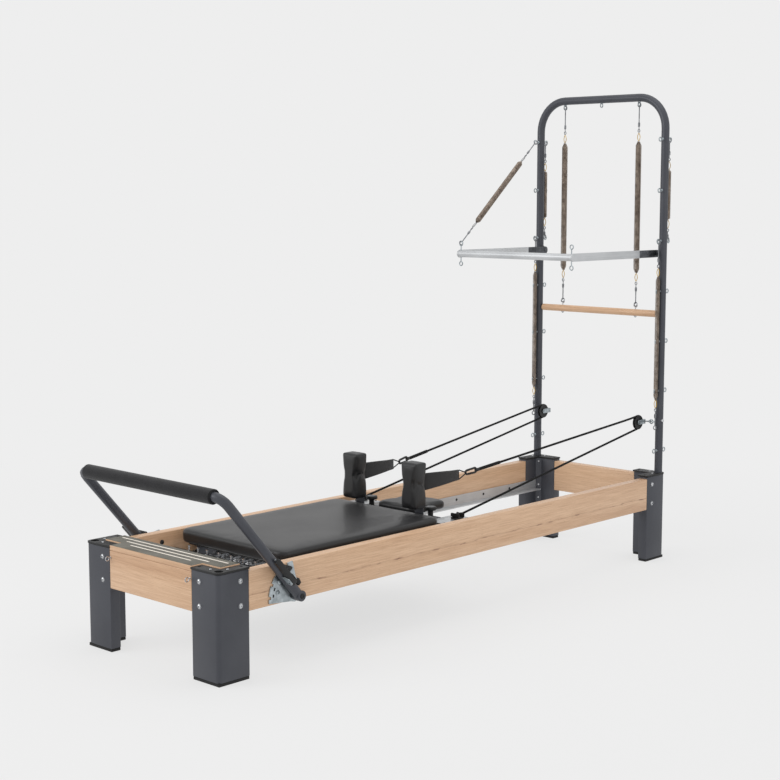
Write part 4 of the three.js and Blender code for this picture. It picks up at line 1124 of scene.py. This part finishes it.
WEBBING_FLAT = [(-0.0013, z / 1000) for z in range(-50, 51, 10)]
WEBBING_FLAT += [(0.0013, z / 1000) for z in range(50, -51, -10)]
for side, sign in SIDES:
    (x0, y0, z0, h0), (x1, y1, z1, h1) = STRAP_FROM, STRAP_TO
    route = []
    for gap, ends in ((-3.2, (0, 1)), (3.2, (1, 0))):
        for k in range(13):
            t = ends[0] + (ends[1] - ends[0]) * k / 12
            bow = 1 + 1.4 * math.sin(math.pi * t) * (1 if gap > 0 else 0.6)
            squeeze = 1 if 0 < k < 12 else 0.35
            x = sign * (x0 + (x1 - x0) * t) + gap * bow * squeeze
            route.append(at(x, y0 + (y1 - y0) * t, z0 + (z1 - z0) * t))
    strap = swept(f"{side}_hand_loop", route, WEBBING_FLAT, webbing)
    for vertex in strap.data.vertices:
        t = (vertex.co.y - at(0, y0, 0).y) / ((y1 - y0) / 1000)
        middle, tall = (z0 + (z1 - z0) * t) / 1000, h0 + (h1 - h0) * min(1, max(0, t * 1.15))
        vertex.co.z = middle + (vertex.co.z - middle) * tall / 100
    seat(smooth(strap, 40), "carriage", webbing, "webbing", f"{side}_hand_strap")
    x = sign * 168
    ring = swept("ring", rounded_loop([at(x, 1297, 451), at(x, 1297, 488), at(x, 1342, 471)], 6),
                 round_section(0.0022, 8), black_plastic, Vector((1, 0, 0)))
    clip_from, clip_to = at(x, 1337, 471), at(sign * 175, 1388, 476.5)
    way = (clip_to - clip_from).normalized()
    up = Vector((1, 0, 0)).cross(way).normalized()
    corners = [clip_from - up * 0.006, clip_from + up * 0.008,
               clip_to + up * 0.010, clip_to - up * 0.008]
    body = swept("body", rounded_loop(corners, 9), round_section(0.0042, 10), black_plastic, way.cross(up))
    gate = stacked("gate", clip_to - way * 0.004, way, ((5, 0), (6.6, 2), (6.6, 12), (5.4, 20)), 14)
    clip = joined(f"{side}_snap_clip", [ring, body, gate])
    seat(clip, "carriage", black_plastic, "black_plastic", f"{side}_strap_clip")
    line = rope_run(STRAP_ROPE_END, top_leaves, sign)
    along = (line[1] - line[0]).normalized()
    sleeve = swept(f"{side}_rope_sleeve", [line[0] + along * d / 1000 for d in (1, 3, 50, 106, 109)],
                   round_section(0.0062, 14), braid)
    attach(sleeve, "frame")
    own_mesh(sleeve)

# ---------------------------------------------------------------------------------------------
# Rope pulleys: a black grooved sheave between two zinc straps, hung from the inner side of each
# upright on a swivel eye, with the bolt's head on the outer side of the tube.
SHEAVE = ((9, 1), (20, 1), (22, 0), (28, 0), (29, 0.7), (29, 1.5), (21.5, 2.6), (21.5, 9.4),
          (29, 10.5), (29, 11.3), (28, 12), (22, 12), (20, 11), (9, 11))
SHEAVE_PIN = ((5.5, 0), (6.5, 1), (6.5, 3), (4, 3.1), (4, 20.9), (6.2, 21), (6.2, 24))
for side, sign in SIDES:
    middle = Vector((sign * PULLEY.x, PULLEY.y, PULLEY.z))
    wheel = stacked(f"{side}_rope_sheave", middle - Vector((0.006, 0, 0)), (1, 0, 0), SHEAVE, 48)
    seat(smooth(wheel, 35), f"{side}_pulley_wheel", black_plastic, "black_plastic", f"{side}_sheave")
    parts = []
    for inner, outer in ((-9, -6.6), (6.6, 9)):
        cheek = slab("cheek", middle + Vector((inner / 1000, -0.011, -0.0095)),
                     middle + Vector((outer / 1000, 0.042, 0.0095)))
        edit(cheek)
        pick("EDGE", lambda m, way: abs(way.x) > 0.9 and m.y < middle.y)
        bpy.ops.mesh.bevel(offset=0.009, segments=8, affect="EDGES")
        done()
        parts.append(eased(cheek, 0.0005, 2))
    bridge = slab("bridge", middle + Vector((-0.009, 0.034, -0.0095)),
                  middle + Vector((0.009, 0.042, 0.0095)))
    parts.append(eased(bridge, 0.0015, 2))
    parts.append(stacked("bolt", middle - Vector((0.012, 0, 0)), (1, 0, 0), SHEAVE_PIN, 6))
    pulley_z = PULLEY.z * 1000
    parts += hook(middle + Vector((0, 0.041, 0)), at(sign * 268, TOWER_Y, pulley_z), (0, 0, 1), 8, 2.6)
    parts += hook(at(sign * 299, TOWER_Y, pulley_z), at(sign * 276, TOWER_Y, pulley_z), (0, 1, 0), 8, 2.6)
    seat(joined(f"{side}_pulley_straps", parts), "frame", zinc, "zinc", f"{side}_pulley_block")
    head = stacked(f"{side}_pulley_bolt", at(sign * 331, TOWER_Y, 572), (sign, 0, 0),
                   ((6.5, -2), (6.5, 0.6), (5.4, 2.6), (3, 3.6)), 20)
    seat(head, "frame", nickel, "zinc")

# ---------------------------------------------------------------------------------------------
# Footbar: one 32 mm steel tube bent to a U and powder coated, turning on a bolt at each rail. Its
# arms lean towards the foot end. Each carries a zinc bracket on its outer side, and the black
# index latch that slides along the arm on the bracket's pin.
LEAN = math.radians(41.2)
ARM_LENGTH, ARM_TAIL, ARM_X, ARM_BEND = 472, 8, 357, 36
PIVOT_Y, PIVOT_Z = 313, 235
BOSS = ((15, 0), (17.5, 1.5), (17.5, 31), (15.5, 33))
CHEEK = ((76, 10), (110, 10), (114, 26), (104, 40), (82, 40), (72, 28))
CHEEK_THICK = 2.6
LATCH_PIN = ((4.5, 0), (4.8, 0.8), (3, 1.2), (3, 27.8), (4.8, 28.2), (4.4, 29))
HANDLE = ((68, 22), (176, 20.5), (182, 24), (180, 37), (172, 39), (84, 39), (68, 36))
HANDLE_THICK = 19
NECK = ((116, 5), (126, 5), (126, 26), (116, 26))
BRIDGE = ((116, 18), (126, 18), (126, 26), (116, 26))
TOOTH = ((112, -5), (122, -5), (126, 12), (126, 26), (116, 26), (112, 12))


def on_arm(x, along, out):
    """A point of the footbar, in mm: across, up the arm from its pivot, and out from its line."""
    return at(x, PIVOT_Y - math.sin(LEAN) * along + math.cos(LEAN) * out,
              PIVOT_Z + math.cos(LEAN) * along + math.sin(LEAN) * out)


def cut_plate(name, corners, way):
    """A plate: a closed outline of points, drawn out along a vector."""
    mesh = bmesh.new()
    face = mesh.faces.new([mesh.verts.new(corner) for corner in corners])
    drawn = bmesh.ops.extrude_face_region(mesh, geom=[face])["geom"]
    bmesh.ops.translate(mesh, vec=way, verts=[v for v in drawn if isinstance(v, bmesh.types.BMVert)])
    bmesh.ops.recalc_face_normals(mesh, faces=mesh.faces)
    data = bpy.data.meshes.new(name)
    mesh.to_mesh(data)
    mesh.free()
    plate = bpy.data.objects.new(name, data)
    scene.collection.objects.link(plate)
    return plate


up_arm = on_arm(0, 1000, 0) - on_arm(0, 0, 0)
off_arm = on_arm(0, 0, 1000) - on_arm(0, 0, 0)
leg_run = ARM_LENGTH + ARM_TAIL - ARM_BEND
tube = bent_rod("tube", on_arm(ARM_X, -ARM_TAIL, 0), up_arm, 16,
                [leg_run, (90, ARM_BEND, (-1, 0, 0)), 2 * (ARM_X - ARM_BEND), (90, ARM_BEND, -up_arm),
                 leg_run], 32)
steel_parts = [tube]
for side, sign in SIDES:
    boss_from = at(sign * (ARM_X - 16), PIVOT_Y, PIVOT_Z)
    steel_parts.append(stacked("boss", boss_from, (sign, 0, 0), BOSS, 32))
    spacer_from = at(sign * 333.8, PIVOT_Y, PIVOT_Z)
    steel_parts.append(stacked("spacer", spacer_from, (sign, 0, 0), ((9, 0), (9, 12)), 20))
seat(joined("footbar_tube", steel_parts), "footbar_arm", charcoal, "charcoal_paint", "footbar")


def beside_arm(sign, points, out):
    """Points beside the arm: (along, outward from the arm's middle) pairs at one height off it."""
    return [on_arm(sign * (ARM_X + aside), along, out) for along, aside in points]


for side, sign in SIDES:
    head = stacked(f"{side}_footbar_bolt", at(sign * (ARM_X + 16.8), PIVOT_Y, PIVOT_Z), (sign, 0, 0),
                   ((9, 0), (9, 1), (8, 2.8), (4.6, 3.4), (4.2, 2)), 24)
    seat(head, "footbar_arm", black_plastic, "black_plastic")
    bracket = []
    for out in (10.2, -12.8):
        cheek = cut_plate("cheek", beside_arm(sign, CHEEK, out), off_arm * CHEEK_THICK / 1000)
        bracket.append(eased(cheek, 0.0006, 2))
    (pin_foot,) = beside_arm(sign, [(92, 30)], -14.5)
    bracket.append(stacked("pin", pin_foot, off_arm, LATCH_PIN, 16))
    (tip_foot,) = beside_arm(sign, [(181, 25)], 0)
    bracket.append(stacked("tip", tip_foot, up_arm, ((1.6, -6), (2.6, -4), (2.6, 5), (1.8, 6)), 12))
    seat(joined(f"{side}_latch_bracket", bracket), "footbar_arm", zinc, "zinc")
    # A thin black disc on the bracket's outer cheek stands for its bolt hole: painted shade in the hole.
    (hole_shade_at,) = beside_arm(sign, [(84, 27)], -12.7)
    hole = stacked(f"{side}_bracket_hole", hole_shade_at, -off_arm, ((3.4, 0), (3.4, 0.3)), 16)
    seat(hole, "footbar_arm", black_plastic, "black_plastic")
    handle = cut_plate("handle", beside_arm(sign, HANDLE, -9.5), off_arm * HANDLE_THICK / 1000)
    block = cut_plate("block", [on_arm(sign * (ARM_X + 23), a, o) for a, o in NECK],
                      Vector((sign * 0.012, 0, 0)))
    bridge = cut_plate("bridge", [on_arm(sign * 336, a, o) for a, o in BRIDGE],
                       Vector((sign * 0.050, 0, 0)))
    tooth = cut_plate("tooth", [on_arm(sign * 334.6, a, o) for a, o in TOOTH],
                      Vector((sign * 0.0036, 0, 0)))
    lever = [eased(handle, 0.0035, 3), eased(block, 0.001, 2), eased(bridge, 0.001, 2),
             eased(tooth, 0.0006, 2)]
    seat(joined(f"{side}_latch_handle", lever), f"{side}_latch", black_plastic, "black_plastic",
         f"{side}_latch_lever")

# Footbar sleeve: closed-cell black foam drawn over the tube, its bore a little proud at the ends.
foam = finish("closed-cell foam", 0.88, specular=0.25, sheen=0.2)
cells = pattern(foam, "Voronoi", scale=700)
mottle = pattern(foam, "Noise", scale=30, detail=4)
colour(foam, blended(foam, "MULTIPLY", 0.4, tones(foam, mottle, (0.3, "131315"), (0.7, "1C1C1F")),
                     tones(foam, cells, (0.0, "909090"), (0.5, "FFFFFF"))))
relief(foam, cells, 0.0004, 0.6)
bar_at = on_arm(-320, ARM_LENGTH, 0)
sleeve = stacked("foam_sleeve", bar_at, (1, 0, 0),
                 ((16.6, 5), (17.6, 0.6), (19, 0), (22.4, 0.2), (24, 2.4), (24.1, 160), (24, 320),
                  (24.1, 480), (24, 637.6), (22.4, 639.8), (19, 640), (17.6, 639.4), (16.6, 635)), 48)
seat(smooth(sleeve, 60), "footbar_arm", foam, "black_foam", "footbar_grip")

# ---------------------------------------------------------------------------------------------
# Index plates: pressed zinc quadrants screwed to the rails, with four notches in the rim for the
# latch tooth and a rolled rim between them. A rubber wedge stops the arm.
NOTCHES = (18.4, 41.2, 64, 86.8)
RIM_RADIUS, NOTCH_FLOOR = 110, 101


def on_plate(x, lean, radius):
    """A point of the index plate, by lean in degrees and radius in mm from the pivot."""
    turn = math.radians(lean)
    return at(x, PIVOT_Y - radius * math.sin(turn), PIVOT_Z + radius * math.cos(turn))


rim = []
for lean in range(4, 97, 2):
    if all(abs(lean - notch) > 3.2 for notch in NOTCHES):
        rim.append((lean, RIM_RADIUS))
for notch in NOTCHES:
    rim += [(notch - 2.6, RIM_RADIUS), (notch - 2.2, NOTCH_FLOOR), (notch + 2.2, NOTCH_FLOOR),
            (notch + 2.6, RIM_RADIUS)]
rim.sort()
hub = [(140, 26), (180, 24), (220, 24), (270, 22), (320, 24)]
for side, sign in SIDES:
    corners = [on_plate(sign * 333.9, lean, radius) for lean, radius in rim + hub]
    plate = eased(cut_plate("plate", corners, Vector((sign * 0.0046, 0, 0))), 0.0007, 2)
    lips = []
    for a, b in ((5, 15), (22, 38), (45, 60.6), (67.6, 83.4), (90, 95)):
        arc = [on_plate(sign * 337.6, a + (b - a) * k / 8, 108.4) for k in range(9)]
        lips.append(swept("lip", arc, round_section(0.0018, 8), zinc, Vector((1, 0, 0))))
    for lean, radius in ((76, 76), (24, 62), (52, 84)):
        lips.append(stacked("screw", on_plate(sign * 338.3, lean, radius), (sign, 0, 0), BUTTON_HEAD[1:], 20))
    seat(joined(f"{side}_index_quadrant", [plate] + lips), "frame", zinc, "zinc", f"{side}_index_plate")
    # Two thin black sheets on each plate stand for its slots: painted shade in the openings. They are joined
    # with the rubber wedge that stops the arm.
    stop_and_slot_shades = []
    for lean, radius in ((70, 92), (83, 92)):
        slot_shade_corners = [on_plate(sign * 338.5, lean + a, radius + r)
                        for a, r in ((-3, -3), (3, -3), (3, 3), (-3, 3))]
        stop_and_slot_shades.append(cut_plate("slot", slot_shade_corners, Vector((sign * 0.0002, 0, 0))))
    wedge = [on_arm(sign * 339.4, a, o) for a, o in ((20, 22), (52, 19), (56, 24), (38, 40), (20, 36))]
    stop_and_slot_shades.append(eased(cut_plate("wedge", wedge, Vector((sign * 0.016, 0, 0))), 0.002, 2))
    seat(joined(f"{side}_arm_stop", stop_and_slot_shades), "frame", rubber, "black_plastic")

# ---------------------------------------------------------------------------------------------
# Push-through bar: a satin aluminium tube between two flat arms, hinged on the uprights. The last
# stretch of each arm is a darker hinge plate with a rivet, turning on a black block.
PUSH_Y, PUSH_Z, PUSH_X = 1819, 1253, 285.5
RIVET = ((5, 0), (4.6, 1.6), (2.4, 2.6))
PIVOT_HEAD = ((8.5, 0), (7.5, 2.8), (4, 3.6))
dark_steel = bright("dark hinge steel", "4A4C50", "6A6C70", 0.4)
bar = bent_rod("bar", at(-PUSH_X + 2.8, PUSH_Y, PUSH_Z), (1, 0, 0), 14, [2 * (PUSH_X - 2.8)], 32)
seat(bar, "push_through_bar", aluminium, "aluminium", "push_bar")
bar.name = bar.data.name = "push_tube"
fittings = []
for side, sign in SIDES:
    strip = slab(f"{side}_flat_arm", at(sign * 283, PUSH_Y - 15, PUSH_Z - 15.5),
                 at(sign * 288, 2262, PUSH_Z + 15.5))
    edit(strip)
    pick("EDGE", lambda m, way: abs(way.x) > 0.9 and m.y < at(0, PUSH_Y, 0).y)
    bpy.ops.mesh.bevel(offset=0.0148, segments=8, affect="EDGES")
    done()
    seat(eased(strip, 0.0008, 2), "push_through_bar", aluminium, "aluminium", f"{side}_push_arm")
    hinge = slab("hinge", at(sign * 283.2, 2256, PUSH_Z - 15), at(sign * 288.6, 2394, PUSH_Z + 15))
    edit(hinge)
    pick("EDGE", lambda m, way: abs(way.x) > 0.9 and m.y > at(0, TOWER_Y, 0).y)
    bpy.ops.mesh.bevel(offset=0.0135, segments=8, affect="EDGES")
    done()
    turned = [stacked("rivet", at(sign * 288.4, 2312, PUSH_Z), (sign, 0, 0), RIVET, 18),
              stacked("spacer", at(sign * 288.4, TOWER_Y, PUSH_Z), (sign, 0, 0), ((10, 0), (10, 10.2)), 24),
              stacked("head", at(sign * 283.4, TOWER_Y, PUSH_Z), (-sign, 0, 0), PIVOT_HEAD, 20)]
    hinge = joined(f"{side}_arm_hinge", [eased(hinge, 0.0008, 2)] + turned)
    seat(hinge, "push_through_bar", dark_steel, "zinc")
    for way in (1, -1):
        shank_end = at(sign * 278, PUSH_Y, PUSH_Z + way * 12)
        fittings += hook(shank_end, at(sign * 278, PUSH_Y, PUSH_Z + way * 40), (0, 1, 0), 8, 2.2)
    block = slab(f"{side}_hinge_block", at(sign * 299.2, 2367, PUSH_Z - 17),
                 at(sign * 304, 2393, PUSH_Z + 17))
    seat(eased(block, 0.0015, 2), "frame", black_plastic, "black_plastic")
seat(joined("push_bar_eyes", fittings), "push_through_bar", zinc, "zinc")

# Push-bar spring: hung from the far upright's top eye and hooked to the bar's upper eye. It is
# wound of bronzed wire, with a steel ring and a steel snap hook at each end.
bronze = bright("bronzed spring wire", "6E6259", "A3968A", 0.32)
brass = bright("brass wire", "A8853C", "DDBB62", 0.3)


def hung_spring(name, top, low, coil_from, coil_to, radius, looped=True):
    """A long spring with a loop at each end of its coil, then a snap hook. The coil runs between
    two distances from the top, in mm. Returns the coil, the loops and the hooks."""
    way = (low - top).normalized()
    side = way.cross(Vector((0.2, 1, 0))).normalized()
    first, last = top + way * coil_from / 1000, top + way * coil_to / 1000
    wound = coil(f"{name}_coil", first, last, radius, 1.6, 3.4, taper=0.03)
    loops, hooks = [], []
    for end, tip, out in ((first, top, -way), (last, low, way)):
        wide = 0.009 if looped else 0.0125
        corners = [end - out * 0.002, end + out * 0.018 + side * wide,
                   end + out * 0.038, end + out * 0.018 - side * wide]
        across = way.cross(side)
        loops.append(swept("loop", rounded_loop(corners, 9), round_section(0.0014, 6), brass, across))
        eye = end + out * 0.043
        hooks += hook(eye + out * 0.018, eye, across, 5.5, 1.7)
        hooks.append(stacked("barrel", eye + out * 0.016, out, ((3, 0), (4.4, 2), (4.4, 14), (2.6, 18)), 12))
        hooks += hook(eye + out * 0.03, tip, side, 8, 2.2)
    loops, hooks = joined(f"{name}_loops", loops), joined(f"{name}_hooks", hooks)
    for piece, metal in ((wound, bronze), (loops, brass if looped else steel), (hooks, steel)):
        piece.data.materials.clear()
        piece.data.materials.append(metal)
    return wound, loops, hooks


PUSH_SPRING_TOP, PUSH_SPRING_LOW = at(-315, 2342, 1711), at(-278, 1819, 1296)
long_way = (PUSH_SPRING_LOW - PUSH_SPRING_TOP).length * 1000
for piece in hung_spring("push_bar", PUSH_SPRING_TOP, PUSH_SPRING_LOW, 0.205 * long_way,
                         0.80 * long_way, 11.5, looped=False):
    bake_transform(piece)
    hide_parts("push_spring")

# ---------------------------------------------------------------------------------------------
# Roll-down bar: a turned maple bar with eyebolts, hung from the arch by two long springs with
# brass loops and snap hooks at their ends.
ROLL_Z, ROLL_HALF = 1008, 292
wood_bar = stacked("wooden_bar", at(-ROLL_HALF, TOWER_Y, ROLL_Z), (1, 0, 0),
                   ((12, 0), (13.6, 0.6), (14, 2.4), (14, 290), (14, 581.6), (13.6, 583.4), (12, 584)), 40)
seat(smooth(wood_bar, 40), "roll_down_bar", maple_across, "maple", "roll_bar")
ends = []
for side, sign in SIDES:
    ends.append(stacked("nut", at(sign * 187, TOWER_Y, ROLL_Z - 13), (0, 0, -1),
                        ((8, 0), (8, 1.4), (5, 1.6), (5, 5), (3, 5.6), (3, 7.4)), 6))
    ends += hook(at(sign * 187, TOWER_Y, ROLL_Z + 12), at(sign * 187, TOWER_Y, 1038), (0, 1, 0), 8, 2.3)
seat(joined("wooden_bar_eyes", ends), "roll_down_bar", nickel, "zinc")
for side, sign in SIDES:
    top, low = at(sign * 187, TOWER_Y, ARCH_EYE_Z - 4), at(sign * 187, TOWER_Y, 1042)
    for piece in hung_spring(f"{side}_roll_down", top, low, 147, 680, 12.5):
        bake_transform(piece)
        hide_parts(f"{side}_roll_spring")

# Spare springs, parked on the uprights' eyes: one above on the back of each upright, and one below
# on the side that faces the bed.
SPARES = (("upper", TOWER_Y + 31, 1706, 1310, 118, 316),
          ("lower", TOWER_Y - 31, 1300, 545, 140, 640))
for side, sign in SIDES:
    for name, y, top_z, low_z, coil_from, coil_to in SPARES:
        top, low = at(sign * TOWER_X, y, top_z), at(sign * TOWER_X, y, low_z)
        for piece in hung_spring(f"{side}_{name}_spare", top, low, coil_from, coil_to, 9.5):
            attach(piece, "frame")
